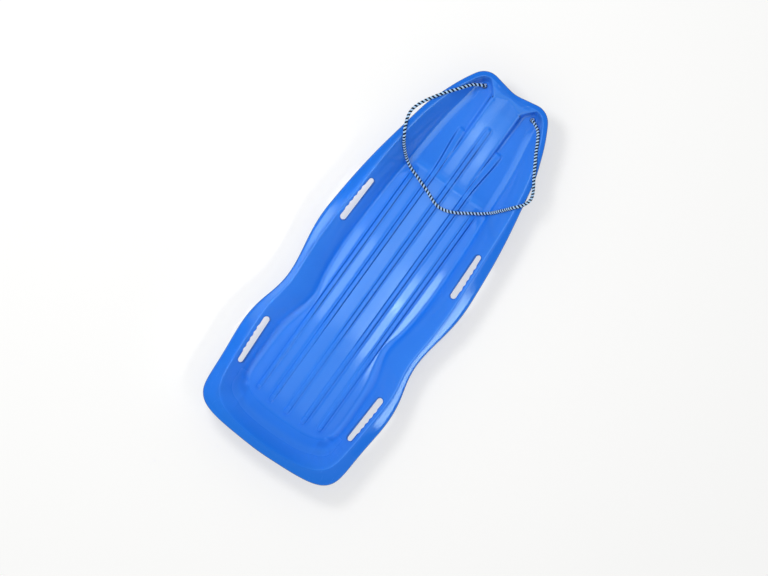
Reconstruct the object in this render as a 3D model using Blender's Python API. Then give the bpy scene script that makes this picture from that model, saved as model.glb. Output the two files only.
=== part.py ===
"""Two-rider toboggan sled: one thin moulded shell and a twisted pull rope.

Metres. +X points to the nose, +Y to the rider's left, +Z up.
The origin is on the ground under the middle of the shell.

The shell is drawn the way its mould is cut. Three plan curves carry it:
the outer rim, the inner edge of the flange, and the edge of the floor.
Rings between them follow the wall, columns across the floor follow the ribs,
and the underside is the upper side set back by one wall thickness.
"""

import math

import bmesh
import bpy
import numpy as np
from mathutils import Vector
from mathutils.bvhtree import BVHTree

# Overall sizes.
LENGTH = 1.220
MAX_WIDTH = 0.488
NOSE_HEIGHT = 0.120
WALL = 0.003

# Rim, flange and down-turned lip.
LIP_DROP = 0.011
LIP_ROUND = 0.004
FLANGE_FALL = 0.0015
RIM_ROUND = 0.007

# How softly the floor turns up into the wall, from the seat back to the nose.
SEAT_ROUND = 0.066
HIP_ROUND = 0.042
CHINE_ROUND = 0.012
NOSE_ROUND = 0.020

# Ribs in the floor: one down the middle, a pair beside it, a pair outside.
RIB_HEIGHT = 0.0055
RIB_FLANK = 0.0045
RIB_END_SLOPE = 0.012
OUTER_RIB_FADE = 0.060

# Ramp up the middle of the nose, between two deep lobes.
RAMP_FLANK = 0.0100
RAMP_FLARE_SLOPE = 0.864
NOSE_DIP = 0.006
NOSE_DIP_HALF_WIDTH = 0.0625

# Sloped band along the edge of the nose's floor.
LEDGE_WIDTH = 0.0140
LEDGE_HEIGHT = 0.0042
LEDGE_OVERLAP = 0.0020

# Hand slots through the walls, with a hollow for each finger.
REAR_SLOT_LENGTH = 0.148
FRONT_SLOT_LENGTH = 0.141
SLOT_WIDTH = 0.0175
SLOT_WIDENING = 0.0040
FINGER_COUNT = 5
FINGER_PITCH = 0.0180
FINGER_DEPTH = 0.0022

# Pull rope, its holes and its stopper knots.
ROPE_DIAMETER = 0.009
ROPE_HOLE = 0.0125
ROPE_DROOP = 0.004
KNOT_WIDTH = 0.026
KNOT_HEIGHT = 0.021
KNOT_TAIL = 0.018
CLEARANCE = 0.0003
CUT_OVERRUN = 0.010

# Tightest bend that the lying rope takes by itself.
ROPE_BEND_DIAMETERS = 10.0
HALF_WIDTH = MAX_WIDTH / 2.0
# Where the ribs and the ramp's sides lie across the half width, and how wide a rib is.
INNER_RIB_SHARE = 0.2213
OUTER_RIB_SHARE = 0.4221
RAMP_SIDE_SHARE = 0.1824
RIB_HALF_SHARE = 0.0361
INNER_RIB_Y = INNER_RIB_SHARE * HALF_WIDTH
OUTER_RIB_Y = OUTER_RIB_SHARE * HALF_WIDTH
RAMP_HALF_WIDTH = RAMP_SIDE_SHARE * HALF_WIDTH
RIB_HALF_WIDTH = RIB_HALF_SHARE * HALF_WIDTH
# Towards the nose the inner ribs' inner sides swing out a little and their outer sides more.
INNER_SHIFT_SHARE = 0.0205
INNER_SPREAD_SHARE = 0.0533
INNER_RIB_SHIFT = INNER_SHIFT_SHARE * HALF_WIDTH
INNER_RIB_SPREAD = INNER_SPREAD_SHARE * HALF_WIDTH
ROPE_RADIUS = ROPE_DIAMETER / 2.0
# The outline reaches its tail at the middle and its nose at the two tips.
TAIL_X = -LENGTH / 2.0

# Plan curves of the left half, from the middle of the tail round to the
# middle of the nose: (share of the length from the tail, share of the half width).
RIM_SHARES = [
    (0.0000, 0.000), (0.0013, 0.200), (0.0037, 0.400), (0.0080, 0.600), (0.0135, 0.725),
    (0.0240, 0.835), (0.0410, 0.907), (0.0650, 0.940), (0.1050, 0.956), (0.1680, 0.982),
    (0.2260, 1.000), (0.2790, 0.970), (0.3270, 0.911), (0.3670, 0.891), (0.4140, 0.913),
    (0.4620, 0.954), (0.5130, 0.980), (0.5730, 0.968), (0.6520, 0.932), (0.7320, 0.875),
    (0.8110, 0.802), (0.8590, 0.752), (0.8980, 0.687), (0.9380, 0.607), (0.9700, 0.526),
    (0.9870, 0.468), (0.9965, 0.400), (1.0000, 0.325), (0.9978, 0.235), (0.9938, 0.125),
    (0.9905, 0.000),
]
FLANGE_SHARES = [
    (0.0175, 0.000), (0.0198, 0.238), (0.0254, 0.456), (0.0333, 0.595), (0.0476, 0.714),
    (0.0651, 0.782), (0.0841, 0.812), (0.1127, 0.833), (0.1563, 0.851), (0.2159, 0.873),
    (0.2635, 0.883), (0.2952, 0.875), (0.3230, 0.851), (0.3667, 0.833), (0.4143, 0.847),
    (0.4659, 0.858), (0.5254, 0.853), (0.5810, 0.837), (0.6524, 0.817), (0.7317, 0.794),
    (0.8111, 0.746), (0.8587, 0.698), (0.8984, 0.637), (0.9381, 0.559), (0.9650, 0.486),
    (0.9794, 0.435), (0.9876, 0.380), (0.9900, 0.317), (0.9880, 0.245), (0.9850, 0.165),
    (0.9825, 0.085), (0.9810, 0.000),
]
CHINE_SHARES = [
    (0.0929, 0.000), (0.0937, 0.190), (0.0976, 0.362), (0.1048, 0.462), (0.1151, 0.523),
    (0.1325, 0.556), (0.1683, 0.567), (0.2198, 0.563), (0.2675, 0.542), (0.3032, 0.500),
    (0.3333, 0.468), (0.3627, 0.470), (0.3865, 0.504), (0.4143, 0.535), (0.4540, 0.557),
    (0.5135, 0.571), (0.5810, 0.564), (0.6524, 0.552), (0.7317, 0.523), (0.8111, 0.494),
    (0.8587, 0.469), (0.8984, 0.436), (0.9381, 0.405), (0.9619, 0.388), (0.9728, 0.362),
    (0.9770, 0.318), (0.9755, 0.262), (0.9695, 0.210), (0.9640, 0.160), (0.9680, 0.085),
    (0.9725, 0.000),
]
# Height of the rim, as a share of the nose height, along the sled.
RIM_HEIGHT_SHARES = [
    (0.00, 0.880), (0.10, 0.880), (0.22, 0.850), (0.36, 0.795), (0.50, 0.800),
    (0.65, 0.825), (0.80, 0.880), (0.90, 0.940), (1.00, 1.000),
]
# Where the floor starts to lift, and how high the ramp and lobes end.
TOE_START_SHARE = 0.7350
TOE_END_SHARE = 0.9770
TOE_POWER = 1.30
RAMP_END_SHARE = 0.90
LOBE_START_SHARE = 0.7350
LOBE_POWER = 1.30
LOBE_END_SHARE = 0.64
DIP_START_SHARE = 0.8430
LEDGE_GROW_SHARES = (0.690, 0.740)
LEDGE_FADE_SHARES = (0.925, 0.955)
LEDGE_CURVE = 1.3
LEDGE_COLUMN_SHARE = 0.75
# Where the wall's foot gets softer round the nose.
NOSE_ROUND_SHARES = (0.930, 0.970)
# Rib ends: (rear, front) as shares of the length, for middle, inner and outer ribs.
RIB_END_SHARES = [(0.1000, 0.8968), (0.1030, 0.8640), (0.1105, 0.7330)]
INNER_RIB_TURN_SHARE = 0.735
OUTER_RIB_FADE_START_SHARE = 0.685
RAMP_FLARE_START_SHARE = 0.9603
# Hand slots: (middle along the length, across the half width, turn towards the nose).
REAR_SLOT_SHARES = (0.1980, 0.772)
FRONT_SLOT_SHARES = (0.5921, 0.752)
REAR_SLOT_TURN = math.radians(3.0)
FRONT_SLOT_TURN = math.radians(-2.5)
ROPE_HOLE_SHARES = (0.9671, 0.333)
# Places of the stations along the floor, between its rear and front corners.
STATION_SHARES = [
    0.000, 0.012, 0.034, 0.062, 0.096, 0.132, 0.168, 0.200, 0.229, 0.256, 0.284, 0.312,
    0.344, 0.377, 0.416, 0.460, 0.506, 0.553, 0.599, 0.645, 0.692, 0.729, 0.761, 0.789,
    0.817, 0.844, 0.866, 0.880, 0.900, 0.920, 0.940, 0.960, 0.980, 1.000,
]
# Rings up the wall, as shares of its width from floor to flange.
WALL_RING_SHARES = [0.14, 0.40, 0.70, 0.90, 1.00]
# The rope's way in plan, from the left hole to the right one.
ROPE_ROUTE_SHARES = [
    (0.9671, 0.333), (0.9563, 0.429), (0.9421, 0.496), (0.9229, 0.566), (0.9075, 0.627),
    (0.8913, 0.685), (0.8751, 0.738), (0.8587, 0.786), (0.8429, 0.821), (0.8270, 0.841),
    (0.8111, 0.835), (0.7952, 0.808), (0.7714, 0.750), (0.7516, 0.675), (0.7357, 0.591),
    (0.7220, 0.482), (0.7143, 0.372), (0.7051, 0.241), (0.6956, 0.116), (0.6878, 0.020),
    (0.6857, -0.060), (0.6889, -0.139), (0.6976, -0.238), (0.7119, -0.349),
    (0.7267, -0.460), (0.7464, -0.580), (0.7690, -0.683), (0.7889, -0.770),
    (0.8032, -0.817), (0.8206, -0.837), (0.8365, -0.808), (0.8582, -0.738),
    (0.8892, -0.643), (0.9209, -0.552), (0.9540, -0.448), (0.9671, -0.333),
]
ROPE_POINTS = 72


def along(share):
    """World X of a place given as a share of the length from the tail."""
    return TAIL_X + share * LENGTH


def spline(knots, values, at):
    """Natural cubic spline through values at knots, read at the given places."""
    knots = np.asarray(knots, float)
    values = np.asarray(values, float)
    if values.ndim == 1:
        values = values[:, None]
    count = len(knots)
    step = np.diff(knots)
    matrix = np.eye(count)
    right = np.zeros_like(values)
    for k in range(1, count - 1):
        matrix[k, k - 1:k + 2] = (step[k - 1], 2.0 * (step[k - 1] + step[k]), step[k])
        right[k] = 6.0 * ((values[k + 1] - values[k]) / step[k]
                          - (values[k] - values[k - 1]) / step[k - 1])
    bend = np.linalg.solve(matrix, right)
    at = np.asarray(at, float)
    k = np.clip(np.searchsorted(knots, at, side="right") - 1, 0, count - 2)
    h = step[k][:, None]
    a = (knots[k + 1] - at)[:, None]
    b = (at - knots[k])[:, None]
    return (bend[k] * a ** 3 / (6.0 * h) + bend[k + 1] * b ** 3 / (6.0 * h)
            + (values[k] / h - bend[k] * h / 6.0) * a
            + (values[k + 1] / h - bend[k + 1] * h / 6.0) * b)


def chord_lengths(points):
    return np.concatenate(([0.0], np.cumsum(np.linalg.norm(np.diff(points, axis=0), axis=1))))


def ease(s):
    """Smooth step from 0 to 1."""
    s = np.clip(s, 0.0, 1.0)
    return s * s * (3.0 - 2.0 * s)


def between(x, shares):
    """Smooth step along the sled, from 0 at the first share of its length to 1 at the second."""
    return ease((x - along(shares[0])) / (along(shares[1]) - along(shares[0])))


class PlanCurve:
    """Half of a closed plan curve, split at its two corners into tail, side and nose."""

    def __init__(self, shares, samples=4000):
        half = np.array([(along(a), b * HALF_WIDTH) for a, b in shares])
        mirror = np.array([1.0, -1.0])
        points = np.vstack([half[3:0:-1] * mirror, half, half[-2:-5:-1] * mirror])
        knots = chord_lengths(points)
        first, last = 3, 3 + len(half) - 1
        x, y = spline(knots, points, np.linspace(knots[first], knots[last], samples)).T
        y[0] = 0.0
        y[-1] = 0.0
        dx, dy = np.diff(x), np.diff(y)
        middle = samples // 2
        rear = int(np.argmax(dx[:middle] > dy[:middle]))
        front = middle + int(np.argmax(dx[middle:] < -dy[middle:]))
        self.tail = (y[:rear + 1], x[:rear + 1])
        self.side = (x[rear:front + 1], y[rear:front + 1])
        self.nose = (y[front:][::-1], x[front:][::-1])
        self.rear_corner = np.array([x[rear], y[rear]])
        self.front_corner = np.array([x[front], y[front]])

    def side_y(self, x):
        return np.interp(x, *self.side)

    def tail_x(self, y):
        return np.interp(np.abs(y), *self.tail)

    def nose_x(self, y):
        return np.interp(np.abs(y), *self.nose)


def rim_height(x, y):
    """Height of the flange's upper face."""
    shares = np.array(RIM_HEIGHT_SHARES)
    height = spline(along(shares[:, 0]), shares[:, 1] * NOSE_HEIGHT, np.ravel(x))[:, 0]
    reach = between(np.ravel(x), (DIP_START_SHARE, 1.0))
    dip = NOSE_DIP * reach * (1.0 - ease(np.abs(np.ravel(y)) / NOSE_DIP_HALF_WIDTH))
    return (height - dip).reshape(np.shape(x))


def ramp_shoulder(x):
    """Half width of the nose ramp's top. It opens out towards the tips."""
    return RAMP_HALF_WIDTH + RAMP_FLARE_SLOPE * np.maximum(x - along(RAMP_FLARE_START_SHARE), 0.0)


def rib_edges(x):
    """Each rib's inner and outer edge, and how much softer its outer flank is."""
    turn = between(x, (INNER_RIB_TURN_SHARE, RIB_END_SHARES[1][1]))
    soft = 1.0 + (INNER_RIB_SPREAD - INNER_RIB_SHIFT) * turn / RIB_HALF_WIDTH
    return [
        (0.0 * x - RIB_HALF_WIDTH, 0.0 * x + RIB_HALF_WIDTH, 0.0 * x + 1.0),
        (INNER_RIB_Y - RIB_HALF_WIDTH + INNER_RIB_SHIFT * turn,
         INNER_RIB_Y + RIB_HALF_WIDTH + INNER_RIB_SPREAD * turn, soft),
        (OUTER_RIB_Y - RIB_HALF_WIDTH + 0.0 * x, OUTER_RIB_Y + RIB_HALF_WIDTH + 0.0 * x,
         0.0 * x + 1.0),
    ]


def base_height(x, y):
    """Upper face of the floor without its ribs: flat, then ramp and lobes at the nose."""
    y = np.abs(y)
    end = along(TOE_END_SHARE)
    toe = np.clip((x - along(TOE_START_SHARE)) / (end - along(TOE_START_SHARE)), 0.0, 1.0)
    ramp = RAMP_END_SHARE * NOSE_HEIGHT * toe ** TOE_POWER
    scoop = np.clip((x - along(LOBE_START_SHARE)) / (end - along(LOBE_START_SHARE)), 0.0, 1.0)
    depth = ramp - LOBE_END_SHARE * NOSE_HEIGHT * scoop ** LOBE_POWER
    step = ease((y - ramp_shoulder(x)) / RAMP_FLANK)
    band = (y - CHINE.side_y(x) + LEDGE_WIDTH - LEDGE_OVERLAP) / LEDGE_WIDTH
    ledge = (LEDGE_HEIGHT * np.clip(band, 0.0, 1.0) ** LEDGE_CURVE
             * between(x, LEDGE_GROW_SHARES) * (1.0 - between(x, LEDGE_FADE_SHARES)))
    return WALL + ramp - depth * step + ledge


def rib_height(x, y):
    """How far the ribs stand up from the floor."""
    y = np.abs(y)
    height = 0.0 * x
    for (start, end), (inner, outer, soft) in zip(RIB_END_SHARES, rib_edges(x)):
        across = np.clip(np.minimum(y - inner, (outer - y) / soft) / RIB_FLANK, 0.0, 1.0)
        ends = np.clip(np.minimum(x - along(start), along(end) - x) / RIB_END_SLOPE, 0.0, 1.0)
        if start == RIB_END_SHARES[2][0]:
            ends = ends * (1.0 - ease((x - along(OUTER_RIB_FADE_START_SHARE)) / OUTER_RIB_FADE))
        height = np.maximum(height, RIB_HEIGHT * across * ends)
    return height


def wall_profile(t, width, x):
    """Share of the wall's rise at share t of its width, with its two rounded feet."""
    hips = ease((x - along(CHINE_SHARES[4][0])) / (along(0.22) - along(CHINE_SHARES[4][0])))
    waist = ease((x - along(0.26)) / (along(0.42) - along(0.26)))
    foot = (SEAT_ROUND + (HIP_ROUND - SEAT_ROUND) * hips + (CHINE_ROUND - HIP_ROUND) * waist
            + (NOSE_ROUND - CHINE_ROUND) * between(x, NOSE_ROUND_SHARES))
    top = np.minimum(RIM_ROUND / width, 0.3)
    foot = np.minimum(foot / width, 0.97 - top)
    slope = 1.0 / (1.0 - foot / 2.0 - top / 2.0)
    rise = slope * (t - foot / 2.0)
    rise = np.where(t < foot, slope * t * t / (2.0 * foot), rise)
    return np.where(t > 1.0 - top, 1.0 - slope * (1.0 - t) ** 2 / (2.0 * top), rise)


def wall_height(x, y, share, width):
    """Height of the wall at a share of its width. The ramp runs up to the flange unbent."""
    low = base_height(x, y)
    rise = wall_profile(share, width, x)
    on_ramp = (1.0 - ease((np.abs(y) - ramp_shoulder(x)) / RAMP_FLANK)) * (x > along(TOE_START_SHARE))
    return low + (rim_height(x, y) - low) * (rise + (share - rise) * on_ramp)


def floor_columns(x, chine_y):
    """Half widths of the columns that follow ribs and ramp, out to the floor's edge."""
    ribs = rib_edges(x)
    shoulder = ramp_shoulder(x)
    turned = along(RIB_END_SHARES[1][1])
    chine_turned = np.interp(turned, *CHINE.side)
    squeeze = ease((x - along(RIB_END_SHARES[2][1])) / (turned - along(RIB_END_SHARES[2][1])))
    past = x > turned
    rib_turned = rib_edges(turned + 0.0 * x)
    columns = [ribs[0][1] - RIB_FLANK, ribs[0][1], (ribs[0][1] + shoulder) / 2.0, shoulder]
    inner_now = [ribs[1][0], ribs[1][0] + RIB_FLANK,
                 ribs[1][1] - RIB_FLANK * ribs[1][2], ribs[1][1]]
    inner_end = [rib_turned[1][0], rib_turned[1][0] + RIB_FLANK,
                 rib_turned[1][1] - RIB_FLANK * rib_turned[1][2], rib_turned[1][1]]
    # Beyond the inner ribs' ends their columns keep their share of the way to the edge.
    for now, end in zip(inner_now, inner_end):
        share = (end - RAMP_HALF_WIDTH) / (chine_turned - RAMP_HALF_WIDTH)
        columns.append(np.where(past, shoulder + share * (chine_y - shoulder), now))
    inner = columns[-1]
    ledge = np.maximum(chine_y - LEDGE_WIDTH, (ribs[2][1] + chine_y) / 2.0)
    far = np.maximum(chine_y - LEDGE_WIDTH, inner + LEDGE_COLUMN_SHARE * (chine_y - inner))
    ledge = ledge + (far - ledge) * squeeze
    outer = [(ribs[1][1] + ribs[2][0]) / 2.0, ribs[2][0], ribs[2][0] + RIB_FLANK,
             ribs[2][1] - RIB_FLANK, ribs[2][1]]
    for k, now in enumerate(outer):
        even = inner + (k + 1.0) / (len(outer) + 1.0) * (ledge - inner)
        columns.append(now + (even - now) * squeeze)
    columns.append(ledge)
    columns.append(chine_y)
    return np.array(columns)


RIM = PlanCurve(RIM_SHARES)
FLANGE = PlanCurve(FLANGE_SHARES)
CHINE = PlanCurve(CHINE_SHARES)


def ring_list():
    """Rings from the lip's lower edge in to the floor's edge.

    A lip ring is (kind, inset from the rim, drop, way over the surface from the lip's
    lower edge). A wall ring is (kind, share of the wall's width, drop, way).
    """
    turn = math.sqrt(0.5)
    arc = math.pi / 4.0 * LIP_ROUND
    side = LIP_DROP - LIP_ROUND
    rings = [
        ("lip", 0.0, LIP_DROP, 0.0),
        ("lip", 0.0, LIP_ROUND, side),
        ("lip", LIP_ROUND * (1.0 - turn), LIP_ROUND * (1.0 - turn), side + arc),
        ("lip", LIP_ROUND, 0.0, side + 2.0 * arc),
    ]
    flange = np.linalg.norm(RIM.rear_corner - FLANGE.rear_corner)
    wall = np.linalg.norm(FLANGE.rear_corner - CHINE.rear_corner)
    for share in list(reversed(WALL_RING_SHARES)) + [0.0]:
        rings.append(("wall", share, 0.0, side + 2.0 * arc + flange + wall * (1.0 - share)))
    return rings


def shell_grid():
    """Upper face of the shell as a grid of points, rings outside and floor inside."""
    rings = ring_list()
    ring_count = len(rings)
    ways = [ring[3] for ring in rings]
    first, last = CHINE.rear_corner[0], CHINE.front_corner[0]
    stations = first + np.array(STATION_SHARES) * (last - first)
    tail_y = floor_columns(np.array(first), CHINE.rear_corner[1])
    nose_y = floor_columns(np.array(last), CHINE.front_corner[1])
    half = len(tail_y)
    rows = len(stations) + 2 * (ring_count - 1)
    half_rows = half + ring_count - 1
    grid = np.zeros((rows, half_rows, 3))

    def ring_point(curve, i, j):
        """Plan point of a curve where grid row i and half column j cross it.

        Rows count from the tail, columns from the middle of the sled.
        """
        depth_tail, depth_nose = i, rows - 1 - i
        depth_side = half_rows - 1 - j
        last_ring = ring_count - 1

        def share_past_corner(line, ring):
            """How far along a ring from its corner a crossing line meets it."""
            return (ways[line] - ways[ring]) / (ways[last_ring] - ways[ring])

        if depth_side <= depth_tail and depth_side <= depth_nose:
            if depth_tail < last_ring:
                share = share_past_corner(depth_tail, depth_side)
                x = curve.rear_corner[0] + share * (first - curve.rear_corner[0])
            elif depth_nose < last_ring:
                share = share_past_corner(depth_nose, depth_side)
                x = curve.front_corner[0] + share * (last - curve.front_corner[0])
            else:
                x = stations[i - last_ring]
            return np.array([x, curve.side_y(x)])
        at_tail = depth_tail < depth_nose
        depth = min(depth_tail, depth_nose)
        corner = curve.rear_corner if at_tail else curve.front_corner
        ends = tail_y if at_tail else nose_y
        if depth_side < last_ring:
            y = corner[1] + share_past_corner(depth_side, depth) * (ends[-1] - corner[1])
        else:
            y = ends[j]
        return np.array([curve.tail_x(y) if at_tail else curve.nose_x(y), y])

    for i in range(rows):
        for j in range(half_rows):
            depth = min(i, rows - 1 - i, half_rows - 1 - j)
            if depth >= ring_count - 1:
                continue
            kind, share, drop, _ = rings[depth]
            rim = ring_point(RIM, i, j)
            flange = ring_point(FLANGE, i, j)
            chine = ring_point(CHINE, i, j)
            if kind == "lip":
                inward = (flange - rim) / np.linalg.norm(flange - rim)
                place = rim + inward * share
                fall = FLANGE_FALL + drop
                height = rim_height(place[0], place[1]) - fall
            else:
                place = chine + (flange - chine) * share
                width = np.linalg.norm(flange - chine)
                height = wall_height(place[0], place[1], share, width)
            grid[i, j] = (place[0], place[1], height)

    for i in range(ring_count - 1, rows - ring_count + 1):
        s = i - ring_count + 1
        count = len(stations)
        x = stations[s]
        chine_y = CHINE.side_y(x)
        y = floor_columns(np.array(x), chine_y)
        if s == 0:
            y = tail_y
        if s == count - 1:
            y = nose_y
        # The first and last stations bow to the floor's curved ends and the bow fades out.
        tail_bow = max(0.0, 1.0 - (x - first) / (SEAT_ROUND + HIP_ROUND)) ** 2
        nose_bow = max(0.0, 1.0 - (last - x) / (SEAT_ROUND + HIP_ROUND)) ** 2
        bowed = (x + (CHINE.tail_x(y) - first) * tail_bow + (CHINE.nose_x(y) - last) * nose_bow)
        grid[i, :half, 0] = bowed
        grid[i, :half, 1] = y
        grid[i, :half, 2] = base_height(bowed, y) + rib_height(bowed, y)
    mirrored = grid[:, ::-1] * np.array([1.0, -1.0, 1.0])
    return np.concatenate([mirrored, grid], axis=1)


def set_back(grid, thickness):
    """Points of the underside: every face of the grid moved back by the thickness."""
    rows, columns = grid.shape[:2]
    normals = [[[] for _ in range(columns)] for _ in range(rows)]
    for i in range(rows - 1):
        for j in range(columns - 1):
            corners = [(i, j), (i + 1, j), (i + 1, j + 1), (i, j + 1)]
            for k in range(4):
                a, b, c = (np.array(grid[corners[(k + n) % 4]]) for n in (3, 0, 1))
                normal = np.cross(c - b, a - b)
                size = np.linalg.norm(normal)
                if size > 0.0:
                    normals[corners[k][0]][corners[k][1]].append(normal / size)
    under = grid.copy()
    for i in range(rows):
        for j in range(columns):
            faces = np.array(normals[i][j])
            move = np.linalg.lstsq(faces, np.full(len(faces), thickness), rcond=0.15)[0]
            under[i, j] -= move
            if grid[i, j, 2] == thickness:
                under[i, j, 2] = 0.0
    return under


def mesh_from_grids(name, upper, lower):
    """Closed sheet between two grids of the same shape."""
    rows, columns = upper.shape[:2]
    mesh = bmesh.new()
    top = [[mesh.verts.new(p) for p in row] for row in upper]
    bottom = [[mesh.verts.new(p) for p in row] for row in lower]
    for i in range(rows - 1):
        for j in range(columns - 1):
            mesh.faces.new((top[i][j], top[i + 1][j], top[i + 1][j + 1], top[i][j + 1]))
            mesh.faces.new((bottom[i][j], bottom[i][j + 1], bottom[i + 1][j + 1], bottom[i + 1][j]))
    edge = ([(i, 0) for i in range(rows - 1)] + [(rows - 1, j) for j in range(columns - 1)]
            + [(i, columns - 1) for i in range(rows - 1, 0, -1)]
            + [(0, j) for j in range(columns - 1, 0, -1)])
    for (i, j), (m, n) in zip(edge, edge[1:] + edge[:1]):
        mesh.faces.new((top[m][n], top[i][j], bottom[i][j], bottom[m][n]))
    data = bpy.data.meshes.new(name)
    mesh.to_mesh(data)
    mesh.free()
    return data


def material(name, colour, roughness, metallic=0.0):
    made = bpy.data.materials.new(name)
    made.use_nodes = True
    shader = made.node_tree.nodes["Principled BSDF"]
    shader.inputs["Base Color"].default_value = (*colour, 1.0)
    shader.inputs["Roughness"].default_value = roughness
    shader.inputs["Metallic"].default_value = metallic
    return made


def new_object(name, data, made):
    item = bpy.data.objects.new(name, data)
    bpy.context.scene.collection.objects.link(item)
    item.data.materials.append(made)
    return item


def prism(name, outline, low, high):
    """Upright cutter with the given plan outline."""
    mesh = bmesh.new()
    face = mesh.faces.new([mesh.verts.new((x, y, low)) for x, y in outline])
    face.normal_update()
    if face.normal.z > 0.0:
        face.normal_flip()
    side = bmesh.ops.extrude_face_region(mesh, geom=[face])
    raised = [v for v in side["geom"] if isinstance(v, bmesh.types.BMVert)]
    bmesh.ops.translate(mesh, verts=raised, vec=(0.0, 0.0, high - low))
    bmesh.ops.recalc_face_normals(mesh, faces=mesh.faces)
    data = bpy.data.meshes.new(name)
    mesh.to_mesh(data)
    mesh.free()
    cutter = bpy.data.objects.new(name, data)
    bpy.context.scene.collection.objects.link(cutter)
    cutter.hide_render = True
    cutter.display_type = "WIRE"
    return cutter


def slot_outline(length, widening):
    """Slot along X: straight inner side, finger hollows outside, round ends."""
    half = length / 2.0

    def half_width(x):
        return (SLOT_WIDTH + widening * x / length) / 2.0

    points = []
    for sign in (1.0, -1.0):
        end = half_width(sign * half)
        centre = sign * (half - end)
        for step in range(7):
            turn = -math.pi / 2.0 + step * math.pi / 6.0
            x = centre + sign * end * math.cos(turn)
            points.append((x, sign * end * math.sin(turn)))
        if sign > 0.0:
            reach = FINGER_COUNT * FINGER_PITCH / 2.0
            steps = 4 * FINGER_COUNT
            for k in range(steps + 1):
                x = reach - 2.0 * reach * k / steps
                bump = math.sin(math.pi * (x + reach) / FINGER_PITCH) ** 2
                points.append((x, half_width(x) + FINGER_DEPTH * bump))
    return points


def place_slot(points, shares, turn, side):
    """Turned and mirrored copy of a slot outline at its place in the wall."""
    x0, y0 = along(shares[0]), shares[1] * HALF_WIDTH
    placed = []
    for x, y in points:
        px = x0 + x * math.cos(turn) - y * math.sin(turn)
        py = y0 + x * math.sin(turn) + y * math.cos(turn)
        placed.append((px, side * py))
    return placed


def circle(x, y, radius, count):
    return [(x + radius * math.cos(2.0 * math.pi * k / count),
             y + radius * math.sin(2.0 * math.pi * k / count)) for k in range(count)]


def cut(item, cutter):
    step = item.modifiers.new(cutter.name, "BOOLEAN")
    step.operation = "DIFFERENCE"
    step.solver = "EXACT"
    step.object = cutter


def grid_tree(grid):
    """Search tree of the shell's upper face."""
    rows, columns = grid.shape[:2]
    points = [Vector(p) for p in grid.reshape(-1, 3)]
    faces = []
    for i in range(rows - 1):
        for j in range(columns - 1):
            a = i * columns + j
            faces.append((a, a + columns, a + columns + 1))
            faces.append((a, a + columns + 1, a + 1))
    return BVHTree.FromPolygons(points, faces)


def surface_height(tree, x, y):
    hit = tree.ray_cast(Vector((x, y, 2.0 * NOSE_HEIGHT)), Vector((0.0, 0.0, -1.0)))[0]
    return None if hit is None else hit.z


def rest_height(tree, x, y, radius):
    """Lowest height at which a ball of this radius lies on the shell."""
    best = -NOSE_HEIGHT
    for ring in range(5):
        reach = radius * ring / 4.0
        for k in range(1 if ring == 0 else 12):
            turn = 2.0 * math.pi * k / 12.0
            z = surface_height(tree, x + reach * math.cos(turn), y + reach * math.sin(turn))
            if z is not None:
                best = max(best, z + math.sqrt(max(radius * radius - reach * reach, 0.0)))
    return best


def blur(values, spread):
    """Weighted running mean along the rope, with its ends held."""
    reach = int(3 * spread)
    weights = np.exp(-0.5 * (np.arange(-reach, reach + 1) / spread) ** 2)
    weights /= weights.sum()
    padded = np.concatenate([np.full(reach, values[0]), values, np.full(reach, values[-1])])
    return np.convolve(padded, weights, mode="valid")


def rope_heights(tree, plan, pace):
    """Heights of the rope along its plan route: it lies on floor, walls and rim."""
    count = len(plan)
    radius = ROPE_RADIUS + CLEARANCE
    rest = np.array([rest_height(tree, x, y, radius) for x, y in plan])
    carried = np.array([surface_height(tree, x, y) is not None for x, y in plan])
    places = np.arange(count)
    over = np.interp(places, places[carried], rest[carried])
    # Where it hangs out past the rim it droops a little between the two crossings.
    beyond = np.maximum(places[carried][np.searchsorted(places[carried], places)] - places, 0)
    behind = places - places[carried][np.searchsorted(places[carried], places, side="right") - 1]
    hang = np.where(carried, 0.0, beyond * behind / np.maximum((beyond + behind) ** 2 / 4.0, 1.0))
    rest = np.where(carried, rest, np.maximum(rest, over - ROPE_DROOP * hang))
    # It bridges hollows that are too tight for it.
    bend = ROPE_BEND_DIAMETERS * ROPE_DIAMETER
    span = int(6.0 * ROPE_DIAMETER / pace)
    offset = (np.arange(-span, span + 1) * pace) ** 2 / (2.0 * bend)
    padded = np.pad(rest, span, mode="edge")
    lifted = np.array([np.max(padded[k:k + 2 * span + 1] - offset) for k in range(count)])
    padded = np.pad(lifted, span, mode="edge")
    lying = np.array([np.min(padded[k:k + 2 * span + 1] + offset) for k in range(count)])
    return blur(np.maximum(lying, rest), 0.7 * ROPE_DIAMETER / pace)


def pushed_clear(tree, line):
    """Move points of the line out until every stretch of the tube clears the shell."""
    line = line.copy()
    need = ROPE_RADIUS + CLEARANCE
    for _ in range(60):
        push = np.zeros_like(line)
        for k in range(3, len(line) - 4):
            for share in (0.0, 0.25, 0.5, 0.75):
                place = line[k] * (1.0 - share) + line[k + 1] * share
                near, _, _, gap = tree.find_nearest(Vector(place))
                if gap < need:
                    away = (place - np.array(near)) / max(gap, ROPE_RADIUS / 10.0)
                    for n, weight in ((k, 1.0 - share), (k + 1, share)):
                        step = away * (need - gap) * weight
                        if np.linalg.norm(step) > np.linalg.norm(push[n]):
                            push[n] = step
        if not push.any():
            break
        line += push
    return line


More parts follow.
